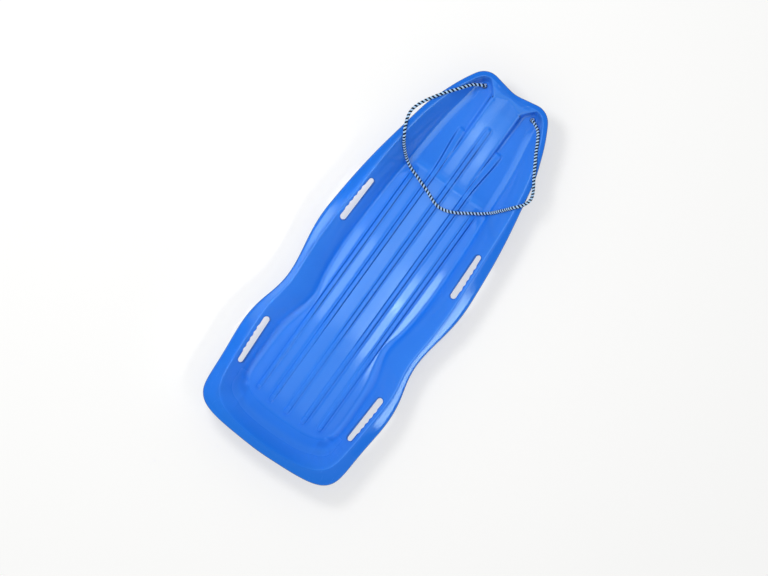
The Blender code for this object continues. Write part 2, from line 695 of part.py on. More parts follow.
def rope_line(tree, hole_floor):
    """Centre line of the rope from hole to hole, over the rim and across the floor."""
    plan = np.array([(along(a), b * HALF_WIDTH) for a, b in ROPE_ROUTE_SHARES])
    knots = chord_lengths(plan)
    pace = ROPE_DIAMETER / 4.0
    count = int(knots[-1] / pace)
    plan = spline(knots, plan, np.linspace(0.0, knots[-1], count))
    lying = np.column_stack([plan, rope_heights(tree, plan, pace)])
    # Each end turns down into its hole.
    clear = 2.6 * ROPE_DIAMETER
    from_left = np.linalg.norm(plan - plan[0], axis=1)
    from_right = np.linalg.norm(plan - plan[-1], axis=1)
    kept = lying[(from_left > clear) & (from_right > clear)]
    left, right = plan[0], plan[-1]
    above = hole_floor + ROPE_DIAMETER
    below = hole_floor - WALL - 2.0 * CLEARANCE
    start = [(*left, below), (*left, (above + below) / 2.0), (*left, above)]
    end = [(*right, above), (*right, (above + below) / 2.0), (*right, below)]
    line = np.vstack([start, kept[::6], end])
    knots = chord_lengths(line)
    line = spline(knots, line, np.linspace(0.0, knots[-1], ROPE_POINTS))
    return pushed_clear(tree, line)


def rope_object(name, line, made):
    """Round tube along the centre line, with closed ends."""
    data = bpy.data.curves.new(name, "CURVE")
    data.dimensions = "3D"
    data.bevel_depth = ROPE_RADIUS
    data.bevel_resolution = 2
    data.use_fill_caps = True
    path = data.splines.new("POLY")
    path.points.add(len(line) - 1)
    for point, place in zip(path.points, line):
        point.co = (*place, 1.0)
    return new_object(name, data, made)


def knot_object(name, x, y, top, made):
    """Stopper knot under the shell, with the rope's short end below it."""
    half = KNOT_WIDTH / 2.0
    profile = [
        (0.0, 0.0), (0.62 * half, 0.0), (0.92 * half, -0.18 * KNOT_HEIGHT),
        (half, -0.45 * KNOT_HEIGHT), (0.86 * half, -0.78 * KNOT_HEIGHT),
        (0.55 * half, -KNOT_HEIGHT), (ROPE_RADIUS, -1.12 * KNOT_HEIGHT),
        (ROPE_RADIUS, -KNOT_HEIGHT - KNOT_TAIL), (0.0, -KNOT_HEIGHT - KNOT_TAIL),
    ]
    sides = 16
    mesh = bmesh.new()
    rings = []
    for radius, z in profile:
        if radius == 0.0:
            rings.append([mesh.verts.new((0.0, 0.0, z))])
        else:
            rings.append([mesh.verts.new((px, py, z)) for px, py in circle(0.0, 0.0, radius, sides)])
    for upper, lower in zip(rings, rings[1:]):
        for k in range(sides):
            n = (k + 1) % sides
            if len(upper) == 1:
                mesh.faces.new((upper[0], lower[k], lower[n]))
            elif len(lower) == 1:
                mesh.faces.new((upper[k], lower[0], upper[n]))
            else:
                mesh.faces.new((upper[k], lower[k], lower[n], upper[n]))
    bmesh.ops.recalc_face_normals(mesh, faces=mesh.faces)
    data = bpy.data.meshes.new(name)
    mesh.to_mesh(data)
    mesh.free()
    item = new_object(name, data, made)
    item.location = (x, y, top)
    return item


def build():
    for item in list(bpy.data.objects):
        bpy.data.objects.remove(item)
    blue = material("blue_polyethylene", (0.035, 0.19, 0.86), 0.28)
    cord = material("black_and_white_rope", (0.22, 0.23, 0.25), 0.8)

    upper = shell_grid()
    lower = set_back(upper, WALL)
    shell = new_object("sled_shell", mesh_from_grids("sled_shell", upper, lower), blue)
    low, high = -CUT_OVERRUN, NOSE_HEIGHT + CUT_OVERRUN
    rear = slot_outline(REAR_SLOT_LENGTH, SLOT_WIDENING)
    front = slot_outline(FRONT_SLOT_LENGTH, -SLOT_WIDENING)
    hole_x, hole_y = along(ROPE_HOLE_SHARES[0]), ROPE_HOLE_SHARES[1] * HALF_WIDTH
    for word, side in (("left", 1.0), ("right", -1.0)):
        rear_points = place_slot(rear, REAR_SLOT_SHARES, REAR_SLOT_TURN, side)
        front_points = place_slot(front, FRONT_SLOT_SHARES, FRONT_SLOT_TURN, side)
        cut(shell, prism("rear_slot_cut_" + word, rear_points, low, high))
        cut(shell, prism("front_slot_cut_" + word, front_points, low, high))
        ring = circle(hole_x, side * hole_y, ROPE_HOLE / 2.0, 16)
        cut(shell, prism("rope_hole_cut_" + word, ring, low, high))

    tree = grid_tree(upper)
    under_tree = grid_tree(lower)
    hole_floor = surface_height(tree, hole_x, hole_y)
    lowest = min(surface_height(under_tree, px, py)
                 for px, py in circle(hole_x, hole_y, KNOT_WIDTH / 2.0, 16))
    knot_top = lowest - CLEARANCE
    line = rope_line(tree, hole_floor)
    line[0, 2] = knot_top + CLEARANCE
    line[-1, 2] = knot_top + CLEARANCE
    rope_object("pull_rope", line, cord)
    knot_object("stopper_knot_left", hole_x, hole_y, knot_top, cord)
    knot_object("stopper_knot_right", hole_x, -hole_y, knot_top, cord)
    length = chord_lengths(line)[-1]
    gap = min(tree.find_nearest(Vector(p))[3] for p in line[4:-4]) - ROPE_RADIUS
    print("rope length %.3f m, least gap to the shell %.2f mm" % (length, 1000.0 * gap))


build()
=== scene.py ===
"""Two-rider toboggan sled: blue moulded polyethylene shell, black and white twisted pull rope."""

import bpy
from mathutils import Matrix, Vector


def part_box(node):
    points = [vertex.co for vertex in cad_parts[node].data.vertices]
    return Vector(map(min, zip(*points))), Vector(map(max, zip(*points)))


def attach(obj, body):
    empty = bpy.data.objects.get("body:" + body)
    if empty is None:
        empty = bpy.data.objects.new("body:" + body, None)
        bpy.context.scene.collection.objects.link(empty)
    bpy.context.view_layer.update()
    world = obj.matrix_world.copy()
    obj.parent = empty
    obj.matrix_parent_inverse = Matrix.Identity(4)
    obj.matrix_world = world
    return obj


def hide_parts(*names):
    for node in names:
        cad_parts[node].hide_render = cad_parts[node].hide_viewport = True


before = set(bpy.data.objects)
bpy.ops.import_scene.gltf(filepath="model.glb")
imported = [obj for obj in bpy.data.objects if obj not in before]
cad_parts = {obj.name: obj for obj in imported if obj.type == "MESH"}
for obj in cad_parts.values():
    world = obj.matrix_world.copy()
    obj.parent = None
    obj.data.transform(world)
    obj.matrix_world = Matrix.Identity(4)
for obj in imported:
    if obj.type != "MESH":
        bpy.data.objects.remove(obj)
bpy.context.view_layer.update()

import math

import bmesh
import bpy
import numpy as np
from mathutils import Matrix, Vector
from mathutils.bvhtree import BVHTree

# Overall sizes, in metres. +X is the nose, +Y the rider's left.
LENGTH = 1.220
MAX_WIDTH = 0.488
NOSE_HEIGHT = 0.120
WALL = 0.003
HALF_WIDTH = MAX_WIDTH / 2.0
INNER_RIB_Y = 0.2213 * HALF_WIDTH
OUTER_RIB_Y = 0.4221 * HALF_WIDTH
RAMP_HALF_WIDTH = 0.1824 * HALF_WIDTH
RIB_HALF_WIDTH = 0.0361 * HALF_WIDTH
INNER_RIB_SHIFT = 0.0205 * HALF_WIDTH
INNER_RIB_SPREAD = 0.0533 * HALF_WIDTH
TAIL_X = -LENGTH / 2.0

# Rim, flange and lip.
LIP_DROP = 0.011
LIP_ROUND = 0.003
RIM_ROUND = 0.007

# Softness of the turn from floor to wall.
SEAT_ROUND = 0.066
HIP_ROUND = 0.042
CHINE_ROUND = 0.012
NOSE_ROUND = 0.020
HIP_END_SHARE = 0.22
WAIST_SHARES = (0.26, 0.42)
TIP_SHARES = (0.93, 0.97)
ROUND_LIMIT = 0.97
TOP_ROUND_LIMIT = 0.3

# Ribs.
RIB_HEIGHT = 0.0055
RIB_FLANK = 0.0045
SEAT_RIB_WEAR = 0.30
RIB_WEAR_SHARES = (0.26, 0.34)
OUTER_RIB_FADE = 0.060

# Nose ramp.
RAMP_FLANK = 0.0100
RAMP_FLARE_SLOPE = 0.864
NOSE_DIP = 0.006
NOSE_DIP_HALF_WIDTH = 0.0625
LEDGE_WIDTH = 0.0140
LEDGE_HEIGHT = 0.0042
LEDGE_OVERLAP = 0.0020
LEDGE_POWER = 1.3

# Hand slots, rear and front: shares of length and half width, length, widening, turn.
HAND_SLOTS = (
    ((0.1980, 0.772), 0.148, 0.0040, math.radians(3.0)),
    ((0.5921, 0.752), 0.141, -0.0040, math.radians(-2.5)),
)
SLOT_WIDTH = 0.0175
FINGER_COUNT = 5
FINGER_PITCH = 0.0180
FINGER_DEPTH = 0.0022
EDGE_ROUND = 0.0009
EDGE_STEPS = 3
EDGE_ANGLE = math.radians(55.0)
CUT_EDGE_WIDTH = 0.0035
SLOT_FRAME = 0.008
HOLE_FRAME = 0.0035

# Rope.
ROPE_DIAMETER = 0.009
ROPE_RADIUS = ROPE_DIAMETER / 2.0
ROPE_HOLE = 0.0125
ROPE_DROOP = 0.004
ROPE_BEND_DIAMETERS = 10.0
ROPE_SPAN_DIAMETERS = 6.0
ROPE_BLUR_DIAMETERS = 0.7
HOLE_REACH_DIAMETERS = 2.6
ROPE_CLEARANCE = 0.00015
ROPE_LAY = 0.0116
STRAND_RADIUS = 0.00120
# Inputs of the rope's node tree: kind, value.
LAY_INPUTS = {
    "Strands": ("NodeSocketInt", 4),
    "Lay Length": ("NodeSocketFloat", ROPE_LAY),
    "Tightening": ("NodeSocketFloat", 0.15),
    "Circle Radius": ("NodeSocketFloat", ROPE_RADIUS - STRAND_RADIUS),
    "Strand Radius": ("NodeSocketFloat", STRAND_RADIUS),
    "Step": ("NodeSocketFloat", ROPE_LAY / 20.0),
    "Sides": ("NodeSocketInt", 10),
}
KNOT_HEIGHT = 0.021
KNOT_TAIL = 0.018
KNOT_REACH = 0.0050
KNOT_SWING = 0.0034
KNOT_OPENING = 0.55
KNOT_BODY_POINTS = 48
KNOT_POINTS = 120

RIM_SHARES = [
    (0.0000, 0.000), (0.0013, 0.200), (0.0037, 0.400), (0.0080, 0.600), (0.0135, 0.725),
    (0.0240, 0.835), (0.0410, 0.907), (0.0650, 0.940), (0.1050, 0.956), (0.1680, 0.982),
    (0.2260, 1.000), (0.2790, 0.970), (0.3270, 0.911), (0.3670, 0.891), (0.4140, 0.913),
    (0.4620, 0.954), (0.5130, 0.980), (0.5730, 0.968), (0.6520, 0.932), (0.7320, 0.875),
    (0.8110, 0.802), (0.8590, 0.752), (0.8980, 0.687), (0.9380, 0.607), (0.9700, 0.526),
    (0.9870, 0.468), (0.9965, 0.400), (1.0000, 0.325), (0.9978, 0.235), (0.9938, 0.125),
    (0.9905, 0.000),
]
FLANGE_SHARES = [
    (0.0175, 0.000), (0.0198, 0.238), (0.0254, 0.456), (0.0333, 0.595), (0.0476, 0.714),
    (0.0651, 0.782), (0.0841, 0.812), (0.1127, 0.833), (0.1563, 0.851), (0.2159, 0.873),
    (0.2635, 0.883), (0.2952, 0.875), (0.3230, 0.851), (0.3667, 0.833), (0.4143, 0.847),
    (0.4659, 0.858), (0.5254, 0.853), (0.5810, 0.837), (0.6524, 0.817), (0.7317, 0.794),
    (0.8111, 0.746), (0.8587, 0.698), (0.8984, 0.637), (0.9381, 0.559), (0.9650, 0.486),
    (0.9794, 0.435), (0.9876, 0.380), (0.9900, 0.317), (0.9880, 0.245), (0.9850, 0.165),
    (0.9825, 0.085), (0.9810, 0.000),
]
CHINE_SHARES = [
    (0.0929, 0.000), (0.0937, 0.190), (0.0976, 0.362), (0.1048, 0.462), (0.1151, 0.523),
    (0.1325, 0.556), (0.1683, 0.567), (0.2198, 0.563), (0.2675, 0.542), (0.3032, 0.500),
    (0.3333, 0.468), (0.3627, 0.470), (0.3865, 0.504), (0.4143, 0.535), (0.4540, 0.557),
    (0.5135, 0.571), (0.5810, 0.564), (0.6524, 0.552), (0.7317, 0.523), (0.8111, 0.494),
    (0.8587, 0.469), (0.8984, 0.436), (0.9381, 0.405), (0.9619, 0.388), (0.9728, 0.362),
    (0.9770, 0.318), (0.9755, 0.262), (0.9695, 0.210), (0.9640, 0.160), (0.9680, 0.085),
    (0.9725, 0.000),
]
RIM_HEIGHT_SHARES = [
    (0.00, 0.880), (0.10, 0.880), (0.22, 0.850), (0.36, 0.795), (0.50, 0.800),
    (0.65, 0.825), (0.80, 0.880), (0.90, 0.940), (1.00, 1.000),
]
DIP_START_SHARE = 0.8430
TOE_SHARES = (0.7350, 0.9770)
TOE_POWER = 1.30
TOE_CREASE_SHARE = 0.10
RAMP_END_SHARE = 0.90
LOBE_END_SHARE = 0.64
LEDGE_GROW_SHARES = (0.690, 0.740)
LEDGE_FADE_SHARES = (0.925, 0.955)
RIB_END_SHARES = [(0.1000, 0.8968), (0.1030, 0.8640), (0.1105, 0.7330)]
INNER_RIB_TURN_SHARE = 0.735
OUTER_RIB_FADE_START_SHARE = 0.685
RAMP_FLARE_START_SHARE = 0.9603
ROPE_HOLE_SHARES = (0.9671, 0.333)
ROPE_ROUTE_SHARES = [
    (0.9671, 0.333), (0.9563, 0.429), (0.9421, 0.496), (0.9229, 0.566), (0.9075, 0.627),
    (0.8913, 0.685), (0.8751, 0.738), (0.8587, 0.786), (0.8429, 0.821), (0.8270, 0.841),
    (0.8111, 0.835), (0.7952, 0.808), (0.7714, 0.750), (0.7516, 0.675), (0.7357, 0.591),
    (0.7220, 0.482), (0.7143, 0.372), (0.7051, 0.241), (0.6956, 0.116), (0.6878, 0.020),
    (0.6857, -0.060), (0.6889, -0.139), (0.6976, -0.238), (0.7119, -0.349),
    (0.7267, -0.460), (0.7464, -0.580), (0.7690, -0.683), (0.7889, -0.770),
    (0.8032, -0.817), (0.8206, -0.837), (0.8365, -0.808), (0.8582, -0.738),
    (0.8892, -0.643), (0.9209, -0.552), (0.9540, -0.448), (0.9671, -0.333),
]
# How finely the rope's line is worked out. The points in the holes stay where they are. A ball
# of the rope's size, felt in rings and turns, finds how low it lies.
ROPE_THINNING = 6
ROPE_POINTS = 72
ROPE_FINER = 6
HOLE_POINTS = 3
PUSH_ROUNDS = 60
REST_RINGS = 4
REST_TURNS = 12

# Rings up the wall, as shares of its width: close together where it bends.
WALL_RING_SHARES = [
    0.03, 0.07, 0.12, 0.18, 0.25, 0.33, 0.42, 0.51, 0.60, 0.68, 0.75, 0.81, 0.86, 0.90,
    0.935, 0.965, 0.985, 1.0,
]
SLOT_FRAME_SHARES = (0.42, 0.90)
FLANGE_STEPS = 5
LIP_ARC_STEPS = 5
LIP_SIDE_STEPS = 2
# Steps between the floor's main columns, from the middle out.
COLUMN_STEPS = [1, 3, 3, 3, 3, 3, 2, 4, 2, 3, 3, 2, 3, 2, 5]
# Cross-lines along the floor: close at its ends, at the ribs' ends and at the hand slots.
COARSE_STATION = 0.0075
FINE_STATION = 0.0036
STATION_BLEND = 0.02
STATION_SAMPLES = 4000
LEDGE_COLUMN_SHARE = 0.75
FINE_TAIL_SHARE = 0.135
FINE_RIB_SHARES = (0.852, 0.905)
FINE_NOSE_SHARE = 0.945
HOLE_RING_SHARES = [0.28, 0.52, 0.72, 0.87, 1.0]

# Where the shell's colour and gloss change, in metres: along, aside, up. The last ones are
# heights of the surface's normal.
SEAT_BACK_SHADE_X = (-0.600, -0.530)
DULL_X = (-0.500, -0.440)
WEAR_AND_SHADE_X = (-0.300, -0.150)
RIBS_X = ((-0.260, -0.160), (0.400, 0.440))
TOE_X = ((0.283, 0.289), (0.298, 0.314))
RIBS_Y = (0.112, 0.120)
FOOT_Y = (0.116, 0.128)
TOE_Y = (0.095, 0.125)
FLOOR_Z = (0.0035, 0.0080)
FOOT_Z = (0.011, 0.020)
WEAR_AND_SHADE_Z = (0.030, 0.050)
WALL_LIGHT_Z = (0.010, 0.030)
LIP_Z = (0.070, 0.080)
RIM_Z = (0.084, 0.093)
LIP_OUTWARD = (0.005, 0.020)
WALL_LIGHT_NORMAL = (0.80, 0.95)
LIP_NORMAL = (0.76, 0.94)
RIM_NORMAL = (0.86, 0.98)
FLANK_NORMAL = (0.74, 0.96)

# Base colours.
DEEP_BLUE = (0.014, 0.184, 0.785, 1.0)
LIGHT_BLUE = (0.017, 0.196, 0.815, 1.0)
# Painted light: the side walls are painted paler, standing in for light falling on them.
WALL_LIGHT_BLUE = (0.038, 0.222, 0.795, 1.0)
# Painted shade: the flange's upper face is painted darker.
RIM_SHADE_BLUE = (0.008, 0.150, 0.705, 1.0)
# Painted shade: the seat back and the tail are painted darker.
SEAT_BACK_SHADE_BLUE = (0.004, 0.150, 0.680, 1.0)
# Painted shade: the lip's outer edge is painted dark, standing in for its shaded rounding.
LIP_SHADE_BLUE = (0.010, 0.062, 0.240, 1.0)
# Painted shade: a darker band painted round the hand slots and rope holes.
CUT_SHADE_BLUE = (0.010, 0.075, 0.330, 1.0)
# Painted shade: the rib flanks are painted darker.
FLANK_SHADE_BLUE = (0.004, 0.088, 0.480, 1.0)
# Painted shade: the wall's foot beside the seat is painted darker.
FOOT_SHADE_BLUE = (0.008, 0.128, 0.640, 1.0)
# Painted highlight: a paler band painted at the toe crease.
TOE_HIGHLIGHT_BLUE = (0.030, 0.235, 0.860, 1.0)
SCUFF_BLUE = (0.075, 0.270, 0.860, 1.0)
DUST = (0.16, 0.20, 0.26, 1.0)
BLACK_YARN = (0.003, 0.014, 0.046, 1.0)
BLACK_SHADE = (0.0015, 0.007, 0.024, 1.0)
WHITE_YARN = (0.53, 0.77, 0.97, 1.0)
WHITE_SHADE = (0.39, 0.59, 0.84, 1.0)
GROUND_WHITE = (0.95, 0.95, 0.93, 1.0)

# Camera, in metres, and its sensor in millimetres.
CAMERA_HEIGHT = 14.0
CAMERA_FOOT = (-0.0437, -0.0194)
CAMERA_TURN = math.radians(54.2)
CAMERA_SIGHT = 60.0
SENSOR_WIDTH = 36.0
FRAME_HEIGHT = 0.1
FRAME_WIDTH = 2.112
GROUND_SIZE = 30.0

# The light that throws the shadow, from the camera's left and top, and one for the left wall.
KEY_PLACE = (-1.0, 1.27, 3.0)
KEY_SIZE = 0.8
KEY_LEVEL = 0.37
STRIP_PLACE = (-0.180, -0.560, 1.250)
STRIP_TARGET = (-0.180, 0.222, 0.070)
STRIP_SIZE = (0.800, 0.080)
STRIP_RADIANCE = 108.0
STRIP_GRID = 7.0

# Panels seen in level faces: where one shows (along, across), size, radiance, height, grid. No
# two hang at one height, as of panels in one plane only the first would be seen.
FLOOR_PANELS = {
    "seat": ((-0.100, 0.000), (0.764, 0.300), 1.2, 2.20, 9.0),
    "seat_back": ((-0.130, 0.000), (0.860, 0.260), 0.3, 2.25, 12.0),
    "front": ((0.150, 0.000), (0.300, 0.260), 0.5, 2.15, 9.0),
    "middle": ((0.040, 0.000), (0.484, 0.098), 1.0, 1.90, 9.0),
    "middle_right": ((0.040, -0.025), (0.484, 0.049), 0.5, 1.95, 9.0),
    "inner_right": ((-0.083, -0.028), (0.228, 0.049), 1.2, 2.00, 9.0),
    "outer_left": ((-0.083, 0.101), (0.266, 0.098), 3.8, 1.92, 9.0),
    "outer_right": ((-0.102, -0.080), (0.266, 0.056), 6.4, 1.94, 9.0),
    "edge_right": ((-0.095, -0.134), (0.348, 0.052), 9.5, 1.96, 9.0),
    "rim_right": ((-0.110, -0.223), (0.280, 0.064), 11.0, 1.91, 24.0),
    "rim_left": ((-0.155, 0.223), (0.080, 0.064), 2.6, 1.91, 24.0),
    "waist_left": ((-0.048, 0.223), (0.120, 0.064), 7.2, 1.93, 24.0),
    "spark": ((-0.066, -0.0745), (0.030, 0.020), 16.0, 1.50, 9.0),
}
# Panels seen in the nose ramp: stretch of the ramp (along, across), distance, radiance, grid.
RAMP_PANELS = {
    "ramp": ((0.2955, 0.484), (-0.043, 0.043), 2.0, 3.3, 26.0),
    "ramp_left": ((0.437, 0.486), (0.008, 0.038), 1.1, 5.0, 20.0),
    "ramp_right": ((0.437, 0.500), (-0.038, -0.008), 1.1, 1.4, 20.0),
    "ramp_foot": ((0.385, 0.418), (-0.046, -0.018), 1.1, 3.2, 20.0),
}

# What the sled mirrors of the room, by the height of the mirrored direction on X and Y.
SIDES_SEEN = (0.16, 0.55)
RIGHT_SEEN = (-0.25, -0.65)
ENDS_SEEN = (0.14, 0.40)
UNLIT_SEEN = (0.12, 0.34)
ROOM_LEVEL = 0.30
SIDES_LEVEL = 1.4
RIGHT_LEVEL = 0.5
ENDS_LEVEL = 0.40
UNLIT_LEVEL = 0.16
SKY_LEVEL = 0.66
GROUND_GLOW = 0.55


def along(share):
    """World X of a share of the length from the tail."""
    return TAIL_X + share * LENGTH


def in_plan(shares, side=1.0):
    """Plan point at these shares of the length and of the half width."""
    return np.array([along(shares[0]), side * shares[1] * HALF_WIDTH])


def spline(knots, values, at):
    """Natural cubic spline through values at knots, read at the given places."""
    count = len(knots)
    values = values.reshape(count, -1)
    step = np.diff(knots)
    matrix = np.eye(count)
    right = np.zeros_like(values)
    for k in range(1, count - 1):
        matrix[k, k - 1:k + 2] = (step[k - 1], 2.0 * (step[k - 1] + step[k]), step[k])
        right[k] = 6.0 * ((values[k + 1] - values[k]) / step[k]
                          - (values[k] - values[k - 1]) / step[k - 1])
    bend = np.linalg.solve(matrix, right)
    k = np.clip(np.searchsorted(knots, at, side="right") - 1, 0, count - 2)
    h = step[k][:, None]
    a = (knots[k + 1] - at)[:, None]
    b = (at - knots[k])[:, None]
    return (bend[k] * a ** 3 / (6.0 * h) + bend[k + 1] * b ** 3 / (6.0 * h)
            + (values[k] / h - bend[k] * h / 6.0) * a
            + (values[k + 1] / h - bend[k + 1] * h / 6.0) * b)


def chord_lengths(points):
    return np.concatenate(([0.0], np.cumsum(np.linalg.norm(np.diff(points, axis=0), axis=1))))


def resampled(points, count):
    """Evenly spaced points on a smooth line through the given ones."""
    knots = chord_lengths(points)
    return spline(knots, points, np.linspace(0.0, knots[-1], count))


def ease(s):
    s = np.clip(s, 0.0, 1.0)
    return s * s * (3.0 - 2.0 * s)


def eased(x, low, high):
    """0 before the low share of the length, 1 past the high one, smooth between."""
    return ease((x - along(low)) / (along(high) - along(low)))


class PlanCurve:
    """Half of a closed plan curve, split at its two corners into tail, side and nose."""

    def __init__(self, shares, samples=8000):
        half = np.array([in_plan(pair) for pair in shares])
        mirror = np.array([1.0, -1.0])
        points = np.vstack([half[3:0:-1] * mirror, half, half[-2:-5:-1] * mirror])
        knots = chord_lengths(points)
        first, last = 3, 3 + len(half) - 1
        x, y = spline(knots, points, np.linspace(knots[first], knots[last], samples)).T
        y[0] = 0.0
        y[-1] = 0.0
        dx, dy = np.diff(x), np.diff(y)
        middle = samples // 2
        rear = int(np.argmax(dx[:middle] > dy[:middle]))
        front = middle + int(np.argmax(dx[middle:] < -dy[middle:]))
        self.tail = (y[:rear + 1], x[:rear + 1])
        self.side = (x[rear:front + 1], y[rear:front + 1])
        self.nose = (y[front:][::-1], x[front:][::-1])
        self.rear_corner = np.array([x[rear], y[rear]])
        self.front_corner = np.array([x[front], y[front]])

    def side_y(self, x):
        return np.interp(x, *self.side)

    def tail_x(self, y):
        return np.interp(np.abs(y), *self.tail)

    def nose_x(self, y):
        return np.interp(np.abs(y), *self.nose)


RIM = PlanCurve(RIM_SHARES)
FLANGE = PlanCurve(FLANGE_SHARES)
CHINE = PlanCurve(CHINE_SHARES)
RIM_TABLE_X = np.linspace(TAIL_X, -TAIL_X, 2000)
RIM_TABLE_Z = spline(along(np.array(RIM_HEIGHT_SHARES)[:, 0]),
                     np.array(RIM_HEIGHT_SHARES)[:, 1] * NOSE_HEIGHT, RIM_TABLE_X)[:, 0]


def rim_height(x, y):
    """Height of the flange's upper face."""
    height = np.interp(x, RIM_TABLE_X, RIM_TABLE_Z)
    reach = eased(x, DIP_START_SHARE, 1.0)
    return height - NOSE_DIP * reach * (1.0 - ease(np.abs(y) / NOSE_DIP_HALF_WIDTH))


def ramp_shoulder(x):
    """Half width of the nose ramp's top. It opens out towards the tips."""
    return RAMP_HALF_WIDTH + RAMP_FLARE_SLOPE * np.maximum(x - along(RAMP_FLARE_START_SHARE), 0.0)


def rib_edges(x):
    """Each rib's inner and outer edge, and how much softer its outer flank is."""
    turn = eased(x, INNER_RIB_TURN_SHARE, RIB_END_SHARES[1][1])
    soft = 1.0 + (INNER_RIB_SPREAD - INNER_RIB_SHIFT) * turn / RIB_HALF_WIDTH
    return [
        (0.0 * x - RIB_HALF_WIDTH, 0.0 * x + RIB_HALF_WIDTH, 1.0),
        (INNER_RIB_Y - RIB_HALF_WIDTH + INNER_RIB_SHIFT * turn,
         INNER_RIB_Y + RIB_HALF_WIDTH + INNER_RIB_SPREAD * turn, soft),
        (OUTER_RIB_Y - RIB_HALF_WIDTH + 0.0 * x, OUTER_RIB_Y + RIB_HALF_WIDTH + 0.0 * x, 1.0),
    ]


def toe_rise(share):
    """Rise of ramp or lobe: it leaves the flat floor in a soft crease, then follows the power."""
    crease = TOE_CREASE_SHARE ** TOE_POWER * (
        1.0 + TOE_POWER * (share / TOE_CREASE_SHARE - 1.0))
    return np.where(share < TOE_CREASE_SHARE, np.maximum(crease, 0.0), share ** TOE_POWER)


def base_height(x, y):
    """Upper face of the floor without its ribs: flat, then ramp and lobes at the nose."""
    y = np.abs(y)
    start, end = along(TOE_SHARES[0]), along(TOE_SHARES[1])
    rise = toe_rise(np.clip((x - start) / (end - start), 0.0, 1.0))
    ramp = RAMP_END_SHARE * NOSE_HEIGHT * rise
    depth = ramp - LOBE_END_SHARE * NOSE_HEIGHT * rise
    step = ease((y - ramp_shoulder(x)) / RAMP_FLANK)
    # A sloped band along the floor's edge, from the outer ribs' ends to the rope holes.
    band = (y - CHINE.side_y(x) + LEDGE_WIDTH - LEDGE_OVERLAP) / LEDGE_WIDTH
    ledge = (LEDGE_HEIGHT * np.clip(band, 0.0, 1.0) ** LEDGE_POWER
             * eased(x, *LEDGE_GROW_SHARES) * (1.0 - eased(x, *LEDGE_FADE_SHARES)))
    return WALL + ramp - depth * step + ledge


def rib_height(x, y):
    """How far the ribs stand up, with round ends in plan."""
    y = np.abs(y)
    height = 0.0 * x
    for (start, end), (inner, outer, soft) in zip(RIB_END_SHARES, rib_edges(x)):
        off = (np.maximum(inner + RIB_HALF_WIDTH - y, 0.0)
               + np.maximum(y - outer + RIB_HALF_WIDTH * soft, 0.0) / soft)
        past = np.maximum(np.maximum(along(start) + RIB_HALF_WIDTH - x,
                                     x - along(end) + RIB_HALF_WIDTH), 0.0)
        inside = RIB_HALF_WIDTH - np.sqrt(past ** 2 + off ** 2)
        rise = ease(inside / RIB_FLANK)
        if start == RIB_END_SHARES[2][0]:
            rise = rise * (1.0 - ease((x - along(OUTER_RIB_FADE_START_SHARE)) / OUTER_RIB_FADE))
        height = np.maximum(height, RIB_HEIGHT * rise)
    return height * (1.0 - SEAT_RIB_WEAR * (1.0 - eased(x, *RIB_WEAR_SHARES)))


def wall_profile(t, width, x):
    """Share of the wall's rise at share t of its width, with its two rounded feet."""
    foot = (SEAT_ROUND + (HIP_ROUND - SEAT_ROUND) * eased(x, CHINE_SHARES[4][0], HIP_END_SHARE)
            + (CHINE_ROUND - HIP_ROUND) * eased(x, *WAIST_SHARES)
            + (NOSE_ROUND - CHINE_ROUND) * eased(x, *TIP_SHARES))
    top = np.minimum(RIM_ROUND / width, TOP_ROUND_LIMIT)
    foot = np.minimum(foot / width, ROUND_LIMIT - top)
    slope = 1.0 / (1.0 - foot / 2.0 - top / 2.0)
    rise = slope * (t - foot / 2.0)
    rise = np.where(t < foot, slope * t * t / (2.0 * foot), rise)
    return np.where(t > 1.0 - top, 1.0 - slope * (1.0 - t) ** 2 / (2.0 * top), rise)


def wall_height(x, y, share, width):
    low = base_height(x, y)
    rise = wall_profile(share, width, x)
    on_ramp = (1.0 - ease((np.abs(y) - ramp_shoulder(x)) / RAMP_FLANK)) * (x > along(0.5))
    return low + (rim_height(x, y) - low) * (rise + (share - rise) * on_ramp)


def height_at(x, y):
    """Upper face of the sled's floor and side walls at a plan point."""
    chine = CHINE.side_y(x)
    if abs(y) <= chine or x > CHINE.front_corner[0]:
        return float(base_height(x, y) + rib_height(x, y))
    width = FLANGE.side_y(x) - chine
    return float(wall_height(x, y, (abs(y) - chine) / width, width))


def floor_columns(x, chine_y):
    """Half widths of the columns that follow ribs and ramp, out to the floor's edge."""
    ribs = rib_edges(x)
    shoulder = ramp_shoulder(x)
    turned = along(RIB_END_SHARES[1][1])
    squeeze = eased(x, RIB_END_SHARES[2][1], RIB_END_SHARES[1][1])
    main = [0.0, ribs[0][1] - RIB_FLANK, ribs[0][1], (ribs[0][1] + shoulder) / 2.0, shoulder]

    def inner_rib(edges):
        low, high, soft = edges[1]
        return [low, low + RIB_FLANK, high - RIB_FLANK * soft, high]

    for now, end in zip(inner_rib(ribs), inner_rib(rib_edges(turned))):
        share = (end - RAMP_HALF_WIDTH) / (CHINE.side_y(turned) - RAMP_HALF_WIDTH)
        main.append(shoulder + share * (chine_y - shoulder) if x > turned else now)
    inner = main[-1]
    ledge = max(chine_y - LEDGE_WIDTH, (ribs[2][1] + chine_y) / 2.0)
    far = max(chine_y - LEDGE_WIDTH, inner + LEDGE_COLUMN_SHARE * (chine_y - inner))
    ledge += (far - ledge) * squeeze
    outer = [(ribs[1][1] + ribs[2][0]) / 2.0, ribs[2][0], ribs[2][0] + RIB_FLANK,
             ribs[2][1] - RIB_FLANK, ribs[2][1]]
    for k, now in enumerate(outer):
        even = inner + (k + 1.0) / (len(outer) + 1.0) * (ledge - inner)
        main.append(now + (even - now) * squeeze)
    main += [ledge, chine_y]
    columns = [0.0]
    for start, end, steps in zip(main, main[1:], COLUMN_STEPS):
        columns += [start + (end - start) * (k + 1.0) / steps for k in range(steps)]
    return np.array(columns)


